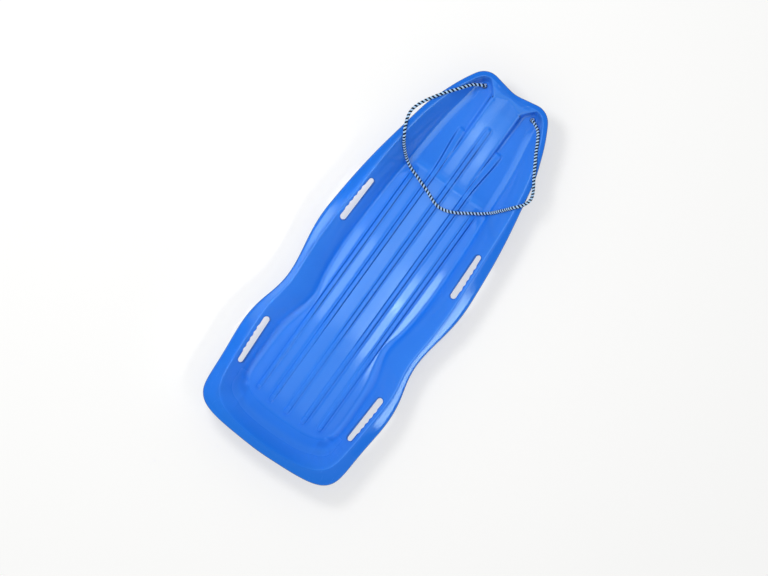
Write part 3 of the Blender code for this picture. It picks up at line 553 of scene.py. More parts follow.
def station_places(first, last):
    """Cross-lines along the floor: close at hand slots, rib ends and both ends of the floor."""
    busy = [(first, along(FINE_TAIL_SHARE)), (along(FINE_NOSE_SHARE), last),
            (along(FINE_RIB_SHARES[0]), along(FINE_RIB_SHARES[1]))]
    for shares, length, _, _ in HAND_SLOTS:
        half = length / 2.0 + 4.0 * FINE_STATION
        busy.append((along(shares[0]) - half, along(shares[0]) + half))
    places = np.linspace(first, last, STATION_SAMPLES)
    density = np.full(len(places), 1.0 / COARSE_STATION)
    for low, high in busy:
        near = ((1.0 - ease((low - places) / STATION_BLEND))
                * (1.0 - ease((places - high) / STATION_BLEND)))
        density = np.maximum(density, near / FINE_STATION)
    total = np.concatenate(([0.0], np.cumsum((density[1:] + density[:-1]) / 2.0)))
    total *= places[1] - places[0]
    count = int(round(total[-1]))
    return np.interp(np.linspace(0.0, total[-1], count + 1), total, places)


def ring_list():
    """Rings from the lip's lower edge in to the floor's edge: (kind, inset or share, drop, way)."""
    side = LIP_DROP - LIP_ROUND
    rings = []
    for k in range(LIP_SIDE_STEPS):
        way = side * k / LIP_SIDE_STEPS
        rings.append(("lip", 0.0, LIP_DROP - way, way))
    for k in range(LIP_ARC_STEPS + 1):
        turn = math.pi / 2.0 * k / LIP_ARC_STEPS
        rings.append(("lip", LIP_ROUND * (1.0 - math.cos(turn)),
                      LIP_ROUND * (1.0 - math.sin(turn)), side + LIP_ROUND * turn))
    way = side + LIP_ROUND * math.pi / 2.0
    flange = np.linalg.norm(RIM.rear_corner - FLANGE.rear_corner)
    wall = np.linalg.norm(FLANGE.rear_corner - CHINE.rear_corner)
    for k in range(1, FLANGE_STEPS):
        share = k / FLANGE_STEPS
        rings.append(("flange", share, 0.0, way + flange * share))
    for share in list(reversed(WALL_RING_SHARES)) + [0.0]:
        rings.append(("wall", share, 0.0, way + flange + wall * (1.0 - share)))
    return rings


def shell_grid():
    """Upper face of the shell as a grid: rings round the outside, the ribbed floor inside."""
    rings = ring_list()
    inmost = len(rings) - 1
    ways = [ring[3] for ring in rings]
    first, last = CHINE.rear_corner[0], CHINE.front_corner[0]
    stations = station_places(first, last)
    tail_y = floor_columns(first, CHINE.rear_corner[1])
    nose_y = floor_columns(last, CHINE.front_corner[1])
    half = len(tail_y)
    rows = len(stations) + 2 * inmost
    columns = half + inmost
    grid = np.zeros((rows, columns, 3))

    def past_corner(line, ring):
        return (ways[line] - ways[ring]) / (ways[inmost] - ways[ring])

    def ring_point(curve, i, j):
        tail, nose, side = i, rows - 1 - i, columns - 1 - j
        if side <= tail and side <= nose:
            if tail < inmost:
                x = curve.rear_corner[0]
                x += past_corner(tail, side) * (first - x)
            elif nose < inmost:
                x = curve.front_corner[0]
                x += past_corner(nose, side) * (last - x)
            else:
                x = stations[i - inmost]
            return np.array([x, curve.side_y(x)])
        at_tail = tail < nose
        corner = curve.rear_corner if at_tail else curve.front_corner
        ends = tail_y if at_tail else nose_y
        y = ends[j] if side >= inmost else (
            corner[1] + past_corner(side, min(tail, nose)) * (ends[-1] - corner[1]))
        return np.array([curve.tail_x(y) if at_tail else curve.nose_x(y), y])

    for i in range(rows):
        for j in range(columns):
            depth = min(i, rows - 1 - i, columns - 1 - j)
            if depth >= inmost:
                continue
            kind, share, drop, _ = rings[depth]
            flange = ring_point(FLANGE, i, j)
            if kind == "wall":
                chine = ring_point(CHINE, i, j)
                place = chine + (flange - chine) * share
                width = np.linalg.norm(flange - chine)
                height = wall_height(place[0], place[1], share, width)
            else:
                rim = ring_point(RIM, i, j)
                reach = np.linalg.norm(flange - rim)
                inset = share
                if kind == "flange":
                    inset = LIP_ROUND + (reach - LIP_ROUND) * share
                place = rim + (flange - rim) * inset / reach
                height = rim_height(place[0], place[1]) - drop
            grid[i, j] = (place[0], place[1], height)

    for i in range(inmost, rows - inmost):
        x = stations[i - inmost]
        y = floor_columns(x, CHINE.side_y(x))
        if i == inmost:
            y = tail_y
        if i == rows - inmost - 1:
            y = nose_y
        bow = SEAT_ROUND + HIP_ROUND
        tail_bow = max(0.0, 1.0 - (x - first) / bow) ** 2
        nose_bow = max(0.0, 1.0 - (last - x) / bow) ** 2
        bowed = x + (CHINE.tail_x(y) - first) * tail_bow + (CHINE.nose_x(y) - last) * nose_bow
        grid[i, :half, 0] = bowed
        grid[i, :half, 1] = y
        grid[i, :half, 2] = base_height(bowed, y) + rib_height(bowed, y)
    mirrored = grid[:, :0:-1] * np.array([1.0, -1.0, 1.0])
    return np.concatenate([mirrored, grid], axis=1), inmost


def slot_rim(shares, length, widening, turn, side):
    """Gives the point of a hand slot's edge nearest to a plan point, finger hollows included."""
    centre = in_plan(shares, side)
    axis = np.array([math.cos(turn), side * math.sin(turn)])
    out = np.array([-math.sin(turn), side * math.cos(turn)])
    half = length / 2.0

    def half_width(u):
        return (SLOT_WIDTH + widening * u / length) / 2.0

    def edge(point):
        u, v = np.dot(point - centre, axis), np.dot(point - centre, out)
        low, high = -half + half_width(-half), half - half_width(half)
        spine = min(max(u, low), high)
        away = np.array([u - spine, v])
        away /= np.linalg.norm(away)
        reach = half_width(spine)
        grip = FINGER_COUNT * FINGER_PITCH / 2.0
        if v > 0.0 and abs(spine) < grip:
            reach += FINGER_DEPTH * math.sin(math.pi * (spine + grip) / FINGER_PITCH) ** 2
        return centre + axis * (spine + away[0] * reach) + out * away[1] * reach

    return edge


def round_rim(centre, radius):
    """Gives the point of a round hole's edge nearest to a plan point."""
    def edge(point):
        away = point - centre
        return centre + away * radius / np.linalg.norm(away)

    return edge


def shell_mesh():
    """Upper face as quads, with the grid opened round each hand slot and rope hole."""
    grid, inmost = shell_grid()
    rows, columns = grid.shape[:2]
    last = columns - 1
    openings = []
    low, high = [columns - inmost + WALL_RING_SHARES.index(share) for share in SLOT_FRAME_SHARES]
    for side in (1.0, -1.0):
        for shares, length, widening, turn in HAND_SLOTS:
            x = grid[:, low, 0]
            reach = length / 2.0 + SLOT_FRAME
            i0 = int(np.argmax(x > along(shares[0]) - reach)) - 1
            i1 = int(np.argmax(x > along(shares[0]) + reach))
            j0, j1 = (low, high) if side > 0.0 else (last - high, last - low)
            openings.append((i0, i1, j0, j1, slot_rim(shares, length, widening, turn, side)))
        centre = in_plan(ROPE_HOLE_SHARES, side)
        hole_x, hole_y = centre
        near = np.hypot(grid[:, :, 0] - hole_x, grid[:, :, 1] - hole_y)
        ci, cj = np.unravel_index(np.argmin(near), near.shape)
        reach = ROPE_HOLE / 2.0 + HOLE_FRAME
        i0 = ci - int(np.argmax(grid[ci::-1, cj, 0] < hole_x - reach))
        i1 = ci + int(np.argmax(grid[ci:, cj, 0] > hole_x + reach))
        j0 = cj - int(np.argmax(grid[ci, cj::-1, 1] < hole_y - reach))
        j1 = cj + int(np.argmax(grid[ci, cj:, 1] > hole_y + reach))
        openings.append((i0, i1, j0, j1, round_rim(centre, ROPE_HOLE / 2.0)))

    mesh = bmesh.new()
    gone = np.zeros((rows, columns), bool)
    skipped = np.zeros((rows - 1, columns - 1), bool)
    for i0, i1, j0, j1, _ in openings:
        gone[i0 + 1:i1, j0 + 1:j1] = True
        skipped[i0:i1, j0:j1] = True
    verts = [[None if gone[i, j] else mesh.verts.new(grid[i, j]) for j in range(columns)]
             for i in range(rows)]
    for i in range(rows - 1):
        for j in range(columns - 1):
            if not skipped[i, j]:
                mesh.faces.new((verts[i][j], verts[i + 1][j], verts[i + 1][j + 1],
                                verts[i][j + 1]))
    for i0, i1, j0, j1, edge in openings:
        loop = ([(i, j0) for i in range(i0, i1)] + [(i1, j) for j in range(j0, j1)]
                + [(i, j1) for i in range(i1, i0, -1)] + [(i0, j) for j in range(j1, j0, -1)])
        outer = [verts[i][j] for i, j in loop]
        for share in HOLE_RING_SHARES:
            inner = []
            for i, j in loop:
                start = grid[i, j, :2]
                place = start + (edge(start) - start) * share
                inner.append(mesh.verts.new((*place, height_at(place[0], place[1]))))
            for k in range(len(loop)):
                n = (k + 1) % len(loop)
                mesh.faces.new((outer[k], outer[n], inner[n], inner[k]))
            outer = inner
    mesh.normal_update()
    data = bpy.data.meshes.new("sled_shell_moulding")
    mesh.to_mesh(data)
    mesh.free()
    return data, grid


def new_object(name, data):
    made = bpy.data.objects.new(name, data)
    bpy.context.scene.collection.objects.link(made)
    return made


def made_mesh(piece):
    """What a piece's modifiers make of it, as a plain mesh."""
    bpy.context.view_layer.update()
    depsgraph = bpy.context.evaluated_depsgraph_get()
    return bpy.data.meshes.new_from_object(piece.evaluated_get(depsgraph), depsgraph=depsgraph)


def mark_cut_edge_shade(data):
    """Marks the band round each hand slot and rope hole, where the colour carries painted shade on
    the cut edge.
    """
    places = np.empty(3 * len(data.vertices))
    data.vertices.foreach_get("co", places)
    x, y = places.reshape(-1, 3)[:, :2].T
    y = np.abs(y)
    hole_x, hole_y = in_plan(ROPE_HOLE_SHARES)
    gap = np.hypot(x - hole_x, y - hole_y) - ROPE_HOLE / 2.0
    for shares, length, _, turn in HAND_SLOTS:
        slot_x, slot_y = in_plan(shares)
        dx, dy = x - slot_x, y - slot_y
        u = dx * math.cos(turn) + dy * math.sin(turn)
        v = dy * math.cos(turn) - dx * math.sin(turn)
        past = np.maximum(np.abs(u) - (length - SLOT_WIDTH) / 2.0, 0.0)
        gap = np.minimum(gap, np.hypot(past, v) - SLOT_WIDTH / 2.0)
    marks = data.attributes.new("cut_edge", "FLOAT", "POINT")
    marks.data.foreach_set("value", np.clip(1.0 - gap / CUT_EDGE_WIDTH, 0.0, 1.0))


def make_shell():
    data, grid = shell_mesh()
    shell = new_object("moulded_shell", data)
    skin = shell.modifiers.new("wall", "SOLIDIFY")
    skin.thickness = WALL
    skin.offset = -1.0
    skin.use_even_offset = True
    skin.use_quality_normals = True
    rounding = shell.modifiers.new("edges", "BEVEL")
    rounding.limit_method = "ANGLE"
    rounding.angle_limit = EDGE_ANGLE
    rounding.width = EDGE_ROUND
    rounding.segments = EDGE_STEPS
    rounding.use_clamp_overlap = True
    made = made_mesh(shell)
    shell.modifiers.clear()
    shell.data = made
    made.shade_smooth()
    mark_cut_edge_shade(made)
    return shell, grid


class Wire:
    """One output of a node tree. Arithmetic on it adds Math nodes."""

    def __init__(self, bench, socket):
        self.bench = bench
        self.socket = socket

    def __add__(self, other):
        return self.bench.maths("ADD", self, other)

    def __sub__(self, other):
        return self.bench.maths("SUBTRACT", self, other)

    def __rsub__(self, other):
        return self.bench.maths("SUBTRACT", other, self)

    def __mul__(self, other):
        return self.bench.maths("MULTIPLY", self, other)

    def __truediv__(self, other):
        return self.bench.maths("DIVIDE", self, other)

    __radd__ = __add__
    __rmul__ = __mul__


class Bench:
    """Adds nodes to one tree."""

    def __init__(self, tree):
        self.tree = tree

    def feed(self, node, inputs):
        """Links or sets a node's input sockets."""
        for key, value in inputs.items():
            if isinstance(value, Wire):
                self.tree.links.new(value.socket, node.inputs[key])
            else:
                node.inputs[key].default_value = value
        return node

    def node(self, kind, inputs=None, output=0, **settings):
        """Adds a node and gives one of its outputs."""
        made = self.tree.nodes.new(kind)
        for name, value in settings.items():
            setattr(made, name, value)
        return Wire(self, self.feed(made, inputs or {}).outputs[output])

    def maths(self, operation, *values):
        return self.node("ShaderNodeMath", dict(enumerate(values)), operation=operation)

    def axes(self, vector):
        return [self.node("ShaderNodeSeparateXYZ", {0: vector}, axis) for axis in "XYZ"]

    def noise(self, where, scale, detail=3.0, roughness=0.5, stretch=None):
        if stretch is not None:
            where = self.node("ShaderNodeMapping", {"Vector": where, "Scale": stretch})
        return self.node("ShaderNodeTexNoise", {"Vector": where, "Scale": scale,
                                                "Detail": detail, "Roughness": roughness})

    def rise(self, factor, low, high):
        """0 below low, 1 above high, smooth between."""
        return self.node("ShaderNodeMapRange",
                         {"Value": factor, "From Min": low, "From Max": high},
                         interpolation_type="SMOOTHSTEP")

    def fall(self, factor, low, high):
        """1 below low, 0 above high, smooth between."""
        return 1.0 - self.rise(factor, low, high)

    def mix(self, factor, first, second):
        return self.node("ShaderNodeMix", {0: factor, 6: first, 7: second}, 2, data_type="RGBA")

    def bump(self, height, distance, **more):
        return self.node("ShaderNodeBump", {"Height": height, "Distance": distance, **more})


def new_material(name):
    made = bpy.data.materials.new(name)
    made.use_nodes = True
    bench = Bench(made.node_tree)
    return made, bench, made.node_tree.nodes["Principled BSDF"]


def blue_polyethylene():
    """Glossy moulded sheet, walls painted paler as light, flange painted darker as shade."""
    made, bench, shader = new_material("blue_polyethylene")
    rise, fall = bench.rise, bench.fall
    place = bench.node("ShaderNodeTexCoord", output="Object")
    facing = bench.node("ShaderNodeNewGeometry", output="Normal")
    forward, aside, level = bench.axes(place)
    aside = bench.maths("ABSOLUTE", aside)
    upright = bench.axes(facing)[2]
    outward = bench.node("ShaderNodeVectorMath", {0: facing, 1: place}, "Value",
                         operation="DOT_PRODUCT")
    cut = bench.node("ShaderNodeAttribute", output="Fac", attribute_name="cut_edge")
    clouds = bench.noise(place, 7.0, 2.0)
    flecks = bench.noise(place, 420.0, 2.0)
    rubs = bench.noise(place, 60.0, 4.0, 0.6, stretch=(0.6, 14.0, 4.0))
    flanks = (fall(aside, *RIBS_Y) * fall(upright, *FLANK_NORMAL)
              * rise(forward, *RIBS_X[0]) * fall(forward, *RIBS_X[1]))
    # Seat zone: rougher from wear, and holding the painted shade at the wall's foot.
    wear_and_shade = fall(forward, *WEAR_AND_SHADE_X) * rise(level, *FLOOR_Z) * fall(level, *WEAR_AND_SHADE_Z)
    scuffs = rise(rubs, 0.62, 0.74) * 0.10
    # Tints in the order in which they cover each other. All but the scuffs paint light and shade.
    tints = (
        # Painted light: paler side walls.
        (rise(level, *WALL_LIGHT_Z) * fall(upright, *WALL_LIGHT_NORMAL), WALL_LIGHT_BLUE),
        # Painted shade: darker flange top.
        (rise(level, *RIM_Z) * rise(upright, *RIM_NORMAL), RIM_SHADE_BLUE),
        # Painted shade: darker seat back and tail.
        (fall(forward, *SEAT_BACK_SHADE_X) * 0.8, SEAT_BACK_SHADE_BLUE),
        # Painted shade: dark lip edge.
        (rise(level, *LIP_Z) * fall(upright, *LIP_NORMAL) * rise(outward, *LIP_OUTWARD) * 0.9,
         LIP_SHADE_BLUE),
        # Painted shade: darker band at the cut edges.
        (cut * 0.75, CUT_SHADE_BLUE),
        # Painted shade: darker rib flanks.
        (flanks * 0.85, FLANK_SHADE_BLUE),
        # Painted shade: darker wall foot beside the seat.
        (wear_and_shade * rise(aside, *FOOT_Y) * fall(level, *FOOT_Z) * 0.45, FOOT_SHADE_BLUE),
        # Painted highlight: paler toe band.
        (rise(forward, *TOE_X[0]) * fall(forward, *TOE_X[1]) * fall(aside, *TOE_Y) * 0.45,
         TOE_HIGHLIGHT_BLUE),
        (scuffs, SCUFF_BLUE),
    )
    colour = bench.mix(rise(clouds, 0.3, 0.7), DEEP_BLUE, LIGHT_BLUE)
    for cover, tint in tints:
        colour = bench.mix(cover, colour, tint)
    gloss = (0.078 + fall(forward, *DULL_X) * 0.16 + wear_and_shade * 0.18 + (clouds - 0.5) * 0.02
             + (flecks - 0.5) * 0.02 + scuffs * 0.8)
    waves = bench.bump(bench.noise(place, 16.0, 2.0, 0.4), 0.00012)
    skin = bench.bump(bench.noise(place, 260.0, 2.0), 0.00001, Normal=waves)
    bench.feed(shader, {"Base Color": colour, "Roughness": gloss, "Normal": skin, "IOR": 1.51,
                        "Specular Tint": (0.70, 1.0, 1.0, 1.0)})
    return made


def strand_material(name, colour, shade):
    """Filament yarn: fine lines along the twist, a little dust and a soft, weak gloss."""
    made, bench, shader = new_material(name)
    fibre = bench.node("ShaderNodeAttribute", output="Vector", attribute_name="fibre")
    lines = bench.noise(fibre, 1.0, 3.0, 0.6, stretch=(420.0, 6.0, 6.0))
    dust = bench.noise(bench.node("ShaderNodeTexCoord", output="Object"), 90.0)
    body = bench.mix(bench.rise(lines, 0.35, 0.65), shade, colour)
    body = bench.mix(bench.rise(dust, 0.5, 0.85) * 0.03, body, DUST)
    bench.feed(shader, {"Base Color": body, "Roughness": 0.62 + (lines - 0.5) * 0.3,
                        "Normal": bench.bump(lines, 0.00025, Strength=0.8),
                        "Specular IOR Level": 0.12})
    return made


def socket(tree, name, kind, way="INPUT"):
    return tree.interface.new_socket(name=name, in_out=way, socket_type=kind).identifier


def rope_tree(dark, pale):
    """Geometry Nodes: strands laid round a path curve, one half of them dark, one half pale."""
    tree = bpy.data.node_groups.new("laid_rope", "GeometryNodeTree")
    socket(tree, "Path", "NodeSocketGeometry")
    ids = {name: socket(tree, name, kind) for name, (kind, _) in LAY_INPUTS.items()}
    socket(tree, "Rope", "NodeSocketGeometry", "OUTPUT")
    bench = Bench(tree)
    entry = tree.nodes.new("NodeGroupInput")

    def given(name):
        return Wire(bench, entry.outputs[name])

    def geometry_and_value(node):
        return [Wire(bench, node.outputs[key]) for key in ("Geometry", 1)]

    def capture(geometry, field, kind, domain="POINT"):
        node = tree.nodes.new("GeometryNodeCaptureAttribute")
        node.capture_items.new(kind, "kept")
        node.domain = domain
        return geometry_and_value(bench.feed(node, {"Geometry": geometry, 1: field}))

    def vector(operation, inputs):
        return bench.node("ShaderNodeVectorMath", inputs, operation=operation)

    path = bench.node("GeometryNodeResampleCurve",
                      {"Curve": given("Path"), "Length": given("Step")}, mode="LENGTH")
    path, way = capture(path, bench.node("GeometryNodeSplineParameter", output="Length"), "FLOAT")
    path, normal = capture(path, bench.node("GeometryNodeInputNormal"), "VECTOR")
    path, tangent = capture(path, bench.node("GeometryNodeInputTangent"), "VECTOR")
    copies = tree.nodes.new("GeometryNodeDuplicateElements")
    copies.domain = "SPLINE"
    bench.feed(copies, {"Geometry": path, "Amount": given("Strands")})
    strands, index = capture(*geometry_and_value(copies), "INT", "CURVE")
    turns = way / given("Lay Length") * (1.0 + way * given("Tightening"))
    phase = (turns + index / given("Strands")) * (2.0 * math.pi)
    reach = given("Circle Radius")
    offset = vector("ADD", {
        0: vector("SCALE", {0: normal, "Scale": bench.maths("COSINE", phase) * reach}),
        1: vector("SCALE", {0: vector("CROSS_PRODUCT", {0: tangent, 1: normal}),
                            "Scale": bench.maths("SINE", phase) * reach}),
    })
    strands = bench.node("GeometryNodeSetPosition", {"Geometry": strands, "Offset": offset})
    circle = bench.node("GeometryNodeCurvePrimitiveCircle",
                        {"Resolution": given("Sides"), "Radius": given("Strand Radius")},
                        mode="RADIUS")
    circle, around = capture(
        circle, bench.node("GeometryNodeSplineParameter", output="Factor"), "FLOAT")
    tubes = bench.node("GeometryNodeCurveToMesh",
                       {"Curve": strands, "Profile Curve": circle, "Fill Caps": True})
    turn = around * (2.0 * math.pi)
    fibre = bench.node("ShaderNodeCombineXYZ", {0: way + index * 0.37,
                                                1: bench.maths("COSINE", turn),
                                                2: bench.maths("SINE", turn)})
    tubes = bench.node("GeometryNodeStoreNamedAttribute",
                       {"Geometry": tubes, "Name": "fibre", "Value": fibre},
                       data_type="FLOAT_VECTOR", domain="POINT")
    tubes = bench.node("GeometryNodeSetShadeSmooth", {"Geometry": tubes})
    tubes = bench.node("GeometryNodeRealizeInstances", {"Geometry": tubes})
    tubes = bench.node("GeometryNodeSetMaterial", {"Geometry": tubes, "Material": pale})
    first = bench.maths("LESS_THAN", index + 0.5, given("Strands") * 0.5)
    tubes = bench.node("GeometryNodeSetMaterial",
                       {"Geometry": tubes, "Selection": first, "Material": dark})
    bench.feed(tree.nodes.new("NodeGroupOutput"), {"Rope": tubes})
    return tree, ids


def laid_rope(name, points, tree, ids):
    """A rope of laid strands along the points, as one plain mesh."""
    data = bpy.data.curves.new(name, "CURVE")
    data.dimensions = "3D"
    path = data.splines.new("POLY")
    path.points.add(len(points) - 1)
    for point, place in zip(path.points, points):
        point.co = (*place, 1.0)
    rope = new_object(name + "_path", data)
    lay = rope.modifiers.new("lay", "NODES")
    lay.node_group = tree
    for key, (_, value) in LAY_INPUTS.items():
        lay[ids[key]] = value
    made = made_mesh(rope)
    bpy.data.objects.remove(rope)
    made.name = name
    return new_object(name, made)


def face_tree(grid):
    """Search tree of the shell's upper face."""
    rows, columns = grid.shape[:2]
    points = [Vector(p) for p in grid.reshape(-1, 3)]
    corners = np.arange(rows * columns).reshape(rows, columns)
    quads = np.stack([corners[:-1, :-1], corners[1:, :-1], corners[1:, 1:], corners[:-1, 1:]], -1)
    return BVHTree.FromPolygons(points, quads.reshape(-1, 4).tolist())


def surface_height(tree, x, y):
    hit = tree.ray_cast(Vector((x, y, 2.0 * NOSE_HEIGHT)), Vector((0.0, 0.0, -1.0)))[0]
    return None if hit is None else hit.z


def rest_height(tree, x, y, radius):
    """Lowest height at which a ball of this radius lies on the shell."""
    best = -NOSE_HEIGHT
    for ring in range(REST_RINGS + 1):
        reach = radius * ring / REST_RINGS
        for k in range(1 if ring == 0 else REST_TURNS):
            turn = 2.0 * math.pi * k / REST_TURNS
            z = surface_height(tree, x + reach * math.cos(turn), y + reach * math.sin(turn))
            if z is not None:
                best = max(best, z + math.sqrt(max(radius * radius - reach * reach, 0.0)))
    return best


def blur(values, spread):
    reach = int(3 * spread)
    weights = np.exp(-0.5 * (np.arange(-reach, reach + 1) / spread) ** 2)
    weights /= weights.sum()
    return np.convolve(np.pad(values, reach, mode="edge"), weights, mode="valid")


def rope_heights(tree, plan, pace):
    """Heights of the rope along its plan route: it lies on floor, walls and rim."""
    count = len(plan)
    radius = ROPE_RADIUS + ROPE_CLEARANCE
    rest = np.array([rest_height(tree, x, y, radius) for x, y in plan])
    carried = np.array([surface_height(tree, x, y) is not None for x, y in plan])
    places = np.arange(count)
    over = np.interp(places, places[carried], rest[carried])
    beyond = np.maximum(places[carried][np.searchsorted(places[carried], places)] - places, 0)
    behind = places - places[carried][np.searchsorted(places[carried], places, side="right") - 1]
    hang = np.where(carried, 0.0, beyond * behind / np.maximum((beyond + behind) ** 2 / 4.0, 1.0))
    rest = np.where(carried, rest, np.maximum(rest, over - ROPE_DROOP * hang))
    bend = ROPE_BEND_DIAMETERS * ROPE_DIAMETER
    span = int(ROPE_SPAN_DIAMETERS * ROPE_DIAMETER / pace)
    offset = (np.arange(-span, span + 1) * pace) ** 2 / (2.0 * bend)
    padded = np.pad(rest, span, mode="edge")
    lifted = np.array([np.max(padded[k:k + 2 * span + 1] - offset) for k in range(count)])
    padded = np.pad(lifted, span, mode="edge")
    lying = np.array([np.min(padded[k:k + 2 * span + 1] + offset) for k in range(count)])
    return blur(np.maximum(lying, rest), ROPE_BLUR_DIAMETERS * ROPE_DIAMETER / pace)


def pushed_clear(tree, line):
    """Moves points of the line out until every stretch of the rope clears the shell."""
    line = line.copy()
    need = ROPE_RADIUS + ROPE_CLEARANCE
    for _ in range(PUSH_ROUNDS):
        push = np.zeros_like(line)
        for k in range(HOLE_POINTS, len(line) - HOLE_POINTS - 1):
            for share in (0.0, 0.25, 0.5, 0.75):
                place = line[k] * (1.0 - share) + line[k + 1] * share
                near, _, _, gap = tree.find_nearest(Vector(place))
                if gap < need:
                    away = (place - np.array(near)) / max(gap, ROPE_RADIUS / 10.0)
                    for n, weight in ((k, 1.0 - share), (k + 1, share)):
                        step = away * (need - gap) * weight
                        if np.linalg.norm(step) > np.linalg.norm(push[n]):
                            push[n] = step
        if not push.any():
            break
        line += push
    return line


def rope_line(tree, hole_floor):
    """Centre line of the rope from hole to hole, over the rim and across the floor."""
    plan = np.array([in_plan(pair) for pair in ROPE_ROUTE_SHARES])
    pace = ROPE_DIAMETER / 4.0
    plan = resampled(plan, int(chord_lengths(plan)[-1] / pace))
    lying = np.column_stack([plan, rope_heights(tree, plan, pace)])
    clear = HOLE_REACH_DIAMETERS * ROPE_DIAMETER
    from_left = np.linalg.norm(plan - plan[0], axis=1)
    from_right = np.linalg.norm(plan - plan[-1], axis=1)
    kept = lying[(from_left > clear) & (from_right > clear)]
    above = hole_floor + ROPE_DIAMETER
    below = hole_floor - WALL - 2.0 * ROPE_CLEARANCE
    heights = (below, (above + below) / 2.0, above)
    start = [(*plan[0], height) for height in heights]
    end = [(*plan[-1], height) for height in reversed(heights)]
    line = resampled(np.vstack([start, kept[::ROPE_THINNING], end]), ROPE_POINTS)
    line = pushed_clear(tree, line)
    return pushed_clear(tree, resampled(line, ROPE_POINTS * ROPE_FINER))


def knot_line(x, y, top):
    """Centre line of an overhand knot pulled tight under its hole, with the short end below."""
    way = np.linspace(KNOT_OPENING, 2.0 * math.pi - KNOT_OPENING, KNOT_BODY_POINTS)
    reach = KNOT_REACH + KNOT_SWING * np.cos(3.0 * way)
    body = np.column_stack([reach * np.cos(2.0 * way), reach * np.sin(2.0 * way),
                            KNOT_SWING * np.sin(3.0 * way) - KNOT_HEIGHT / 2.0])
    entry = [(0.0, 0.0, 0.0), (0.0, 0.0, -KNOT_HEIGHT / 8.0)]
    end = -KNOT_HEIGHT - KNOT_TAIL + ROPE_RADIUS / 8.0
    leave = [(0.0, 0.0, -KNOT_HEIGHT),
             (ROPE_RADIUS / 6.0, ROPE_RADIUS / 6.0, (end - KNOT_HEIGHT) / 2.0),
             (ROPE_RADIUS / 2.0, ROPE_RADIUS / 3.0, end)]
    return resampled(np.vstack([entry, body, leave]) + np.array([x, y, top]), KNOT_POINTS)


def aim_camera():
    """Straight down, from far off, turned as the photograph is."""
    sine, cosine = math.sin(CAMERA_TURN), math.cos(CAMERA_TURN)
    right, up = Vector((cosine, -sine, 0.0)), Vector((sine, cosine, 0.0))
    data = bpy.data.cameras.new("camera")
    data.sensor_width = SENSOR_WIDTH
    data.lens = SENSOR_WIDTH * (CAMERA_HEIGHT - FRAME_HEIGHT) / FRAME_WIDTH
    data.clip_end = CAMERA_SIGHT
    camera = new_object("camera", data)
    turned = Matrix((right, up, Vector((0.0, 0.0, 1.0)))).transposed().to_4x4()
    camera.matrix_world = Matrix.Translation((*CAMERA_FOOT, CAMERA_HEIGHT)) @ turned
    bpy.context.scene.camera = camera
    return right, up


def area_lamp(name, place, turn, size, energy):
    """A rectangular lamp that the camera doesn't see."""
    data = bpy.data.lights.new(name, "AREA")
    data.shape = "RECTANGLE"
    data.size, data.size_y = size
    data.energy = energy
    lamp = new_object(name, data)
    lamp.matrix_world = Matrix.Translation(place) @ turn
    lamp.visible_camera = False
    return lamp


def softbox(name, place, size, radiance, grid, target=None):
    """A lit panel behind a grid of this half angle. It faces straight down, or the target."""
    turn = Matrix.Identity(4)
    if target is not None:
        back = (Vector(place) - Vector(target)).normalized()
        across = back.cross(Vector((1.0, 0.0, 0.0))).normalized()
        turn = Matrix((across.cross(back), across, back)).transposed().to_4x4()
    grid = math.radians(grid)
    energy = radiance * math.pi * size[0] * size[1] * (1.0 - grid / math.tan(grid))
    lamp = area_lamp(name, place, turn, size, energy)
    lamp.data.spread = 2.0 * grid
    return lamp


def overhead(centre, size, height):
    """Place and size of a panel whose reflection in the floor shows at this centre and size."""
    reach = 1.0 + height / CAMERA_HEIGHT
    place = [reach * c - (reach - 1.0) * foot for c, foot in zip(centre, CAMERA_FOOT)]
    return (*place, height), (reach * size[0], reach * size[1])


def key_light(right, up):
    """The light that throws the shadow, aimed at the sled and not mirrored in it."""
    place = right * KEY_PLACE[0] + up * KEY_PLACE[1] + Vector((0.0, 0.0, KEY_PLACE[2]))
    turn = (-place).to_track_quat("-Z", "Y").to_matrix().to_4x4()
    energy = KEY_LEVEL * math.pi * math.pi * place.length ** 2 / (place.z / place.length)
    return area_lamp("key_light", place, turn, (KEY_SIZE, KEY_SIZE), energy)


def pale_floor():
    """Plain white ground that keeps a soft shadow."""
    mesh = bmesh.new()
    bmesh.ops.create_grid(mesh, x_segments=1, y_segments=1, size=GROUND_SIZE)
    data = bpy.data.meshes.new("ground")
    mesh.to_mesh(data)
    mesh.free()
    made, bench, shader = new_material("white_ground")
    bench.feed(shader, {"Base Color": GROUND_WHITE, "Roughness": 0.9, "Specular IOR Level": 0.0})
    seen = bench.node("ShaderNodeLightPath", output="Is Camera Ray")
    blend = bench.node("ShaderNodeMixShader", {0: seen * GROUND_GLOW,
                                               1: Wire(bench, shader.outputs[0]),
                                               2: bench.node("ShaderNodeEmission")})
    bench.feed(made.node_tree.nodes["Material Output"], {"Surface": blend})
    data.materials.append(made)
    new_object("ground", data)


def bounced(x, y, distance):
    """Where the camera's ray through this point of the floor ends, this far past the floor."""
    step = RIB_FLANK / 4.0
    low = float(base_height(x, y))
    slope = (float(base_height(x + step, y)) - float(base_height(x - step, y))) / (2.0 * step)
    point = Vector((x, y, low))
    ray = (point - Vector((*CAMERA_FOOT, CAMERA_HEIGHT))).normalized()
    return point + ray.reflect(Vector((-slope, 0.0, 1.0)).normalized()) * distance


def panel_seen_at(name, xs, ys, distance, radiance, grid):
    """A panel whose reflection in the nose ramp fills this stretch of it."""
    x, y = sum(xs) / 2.0, sum(ys) / 2.0
    ends = [bounced(end, y, distance) for end in xs]
    sides = [bounced(x, end, distance) for end in ys]
    size = ((ends[1] - ends[0]).length, (sides[1] - sides[0]).length)
    softbox(name, (ends[0] + ends[1]) / 2.0, size, radiance, grid,
            (x, y, float(base_height(x, y))))


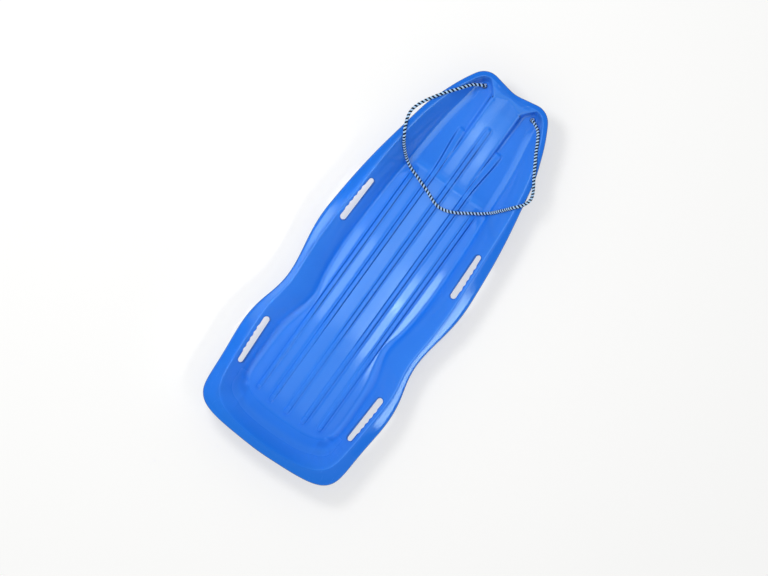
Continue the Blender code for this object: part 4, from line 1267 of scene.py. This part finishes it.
def light_scene(right, up):
    world = bpy.data.worlds.new("studio")
    world.use_nodes = True
    bpy.context.scene.world = world
    bench = Bench(world.node_tree)
    seen, gloss = [bench.node("ShaderNodeLightPath", output=key)
                   for key in ("Is Camera Ray", "Is Glossy Ray")]
    ahead, aside, _ = bench.axes(bench.node("ShaderNodeTexCoord", output="Generated"))
    # Reflected in the sled: pale walls to both sides of it, the rider's right one brighter.
    sides = (bench.rise(bench.maths("ABSOLUTE", aside), *SIDES_SEEN)
             + bench.rise(aside, *RIGHT_SEEN) * RIGHT_LEVEL)
    ends = bench.rise(bench.maths("ABSOLUTE", ahead), *ENDS_SEEN)
    # The seat back looks away from the walls, towards the unlit end of the room.
    away = bench.rise(ahead, *UNLIT_SEEN)
    room = (ROOM_LEVEL + (SIDES_LEVEL * sides + ENDS_LEVEL * ends) * (1.0 - away)
            - UNLIT_LEVEL * away)
    level = seen + (1.0 - seen) * (gloss * room + (1.0 - gloss) * SKY_LEVEL)
    bench.feed(world.node_tree.nodes["Background"],
               {"Color": (1.0, 1.0, 1.0, 1.0), "Strength": level})
    strip = softbox("left_wall_strip", STRIP_PLACE, STRIP_SIZE, STRIP_RADIANCE, STRIP_GRID,
                    STRIP_TARGET)
    for lamp in (key_light(right, up), strip):
        lamp.visible_glossy = False
    for name, (centre, size, radiance, height, grid) in FLOOR_PANELS.items():
        softbox(name + "_box", *overhead(centre, size, height), radiance, grid)
    for name, (xs, ys, distance, radiance, grid) in RAMP_PANELS.items():
        panel_seen_at(name + "_box", xs, ys, distance, radiance, grid)


def finished(piece, node):
    """Hides the solid that a visible piece stands for and hangs the piece under the root body."""
    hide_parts(node)
    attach(piece, "root")
    return piece


def main():
    right, up = aim_camera()
    shell, grid = make_shell()
    shell.data.materials.append(blue_polyethylene())
    finished(shell, "sled_shell")

    tree = face_tree(grid)
    line = rope_line(tree, surface_height(tree, *in_plan(ROPE_HOLE_SHARES)))
    boxes = {side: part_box("stopper_knot_" + side) for side in ("left", "right")}
    for end, box in zip((0, -1), boxes.values()):
        line[end, 2] = box[1][2] + ROPE_CLEARANCE
    dark = strand_material("black_strand", BLACK_YARN, BLACK_SHADE)
    pale = strand_material("white_strand", WHITE_YARN, WHITE_SHADE)
    weave, ids = rope_tree(dark, pale)
    rope = finished(laid_rope("pull_rope_strands", line, weave, ids), "pull_rope")
    for side, (low, high) in boxes.items():
        places = knot_line((low[0] + high[0]) / 2.0, (low[1] + high[1]) / 2.0, high[2])
        knot = laid_rope(side + "_overhand_knot", places, weave, ids)
        finished(knot, "stopper_knot_" + side)
    pale_floor()
    light_scene(right, up)
    bpy.context.scene.view_settings.view_transform = "Standard"


main()
bpy.context.view_layer.update()
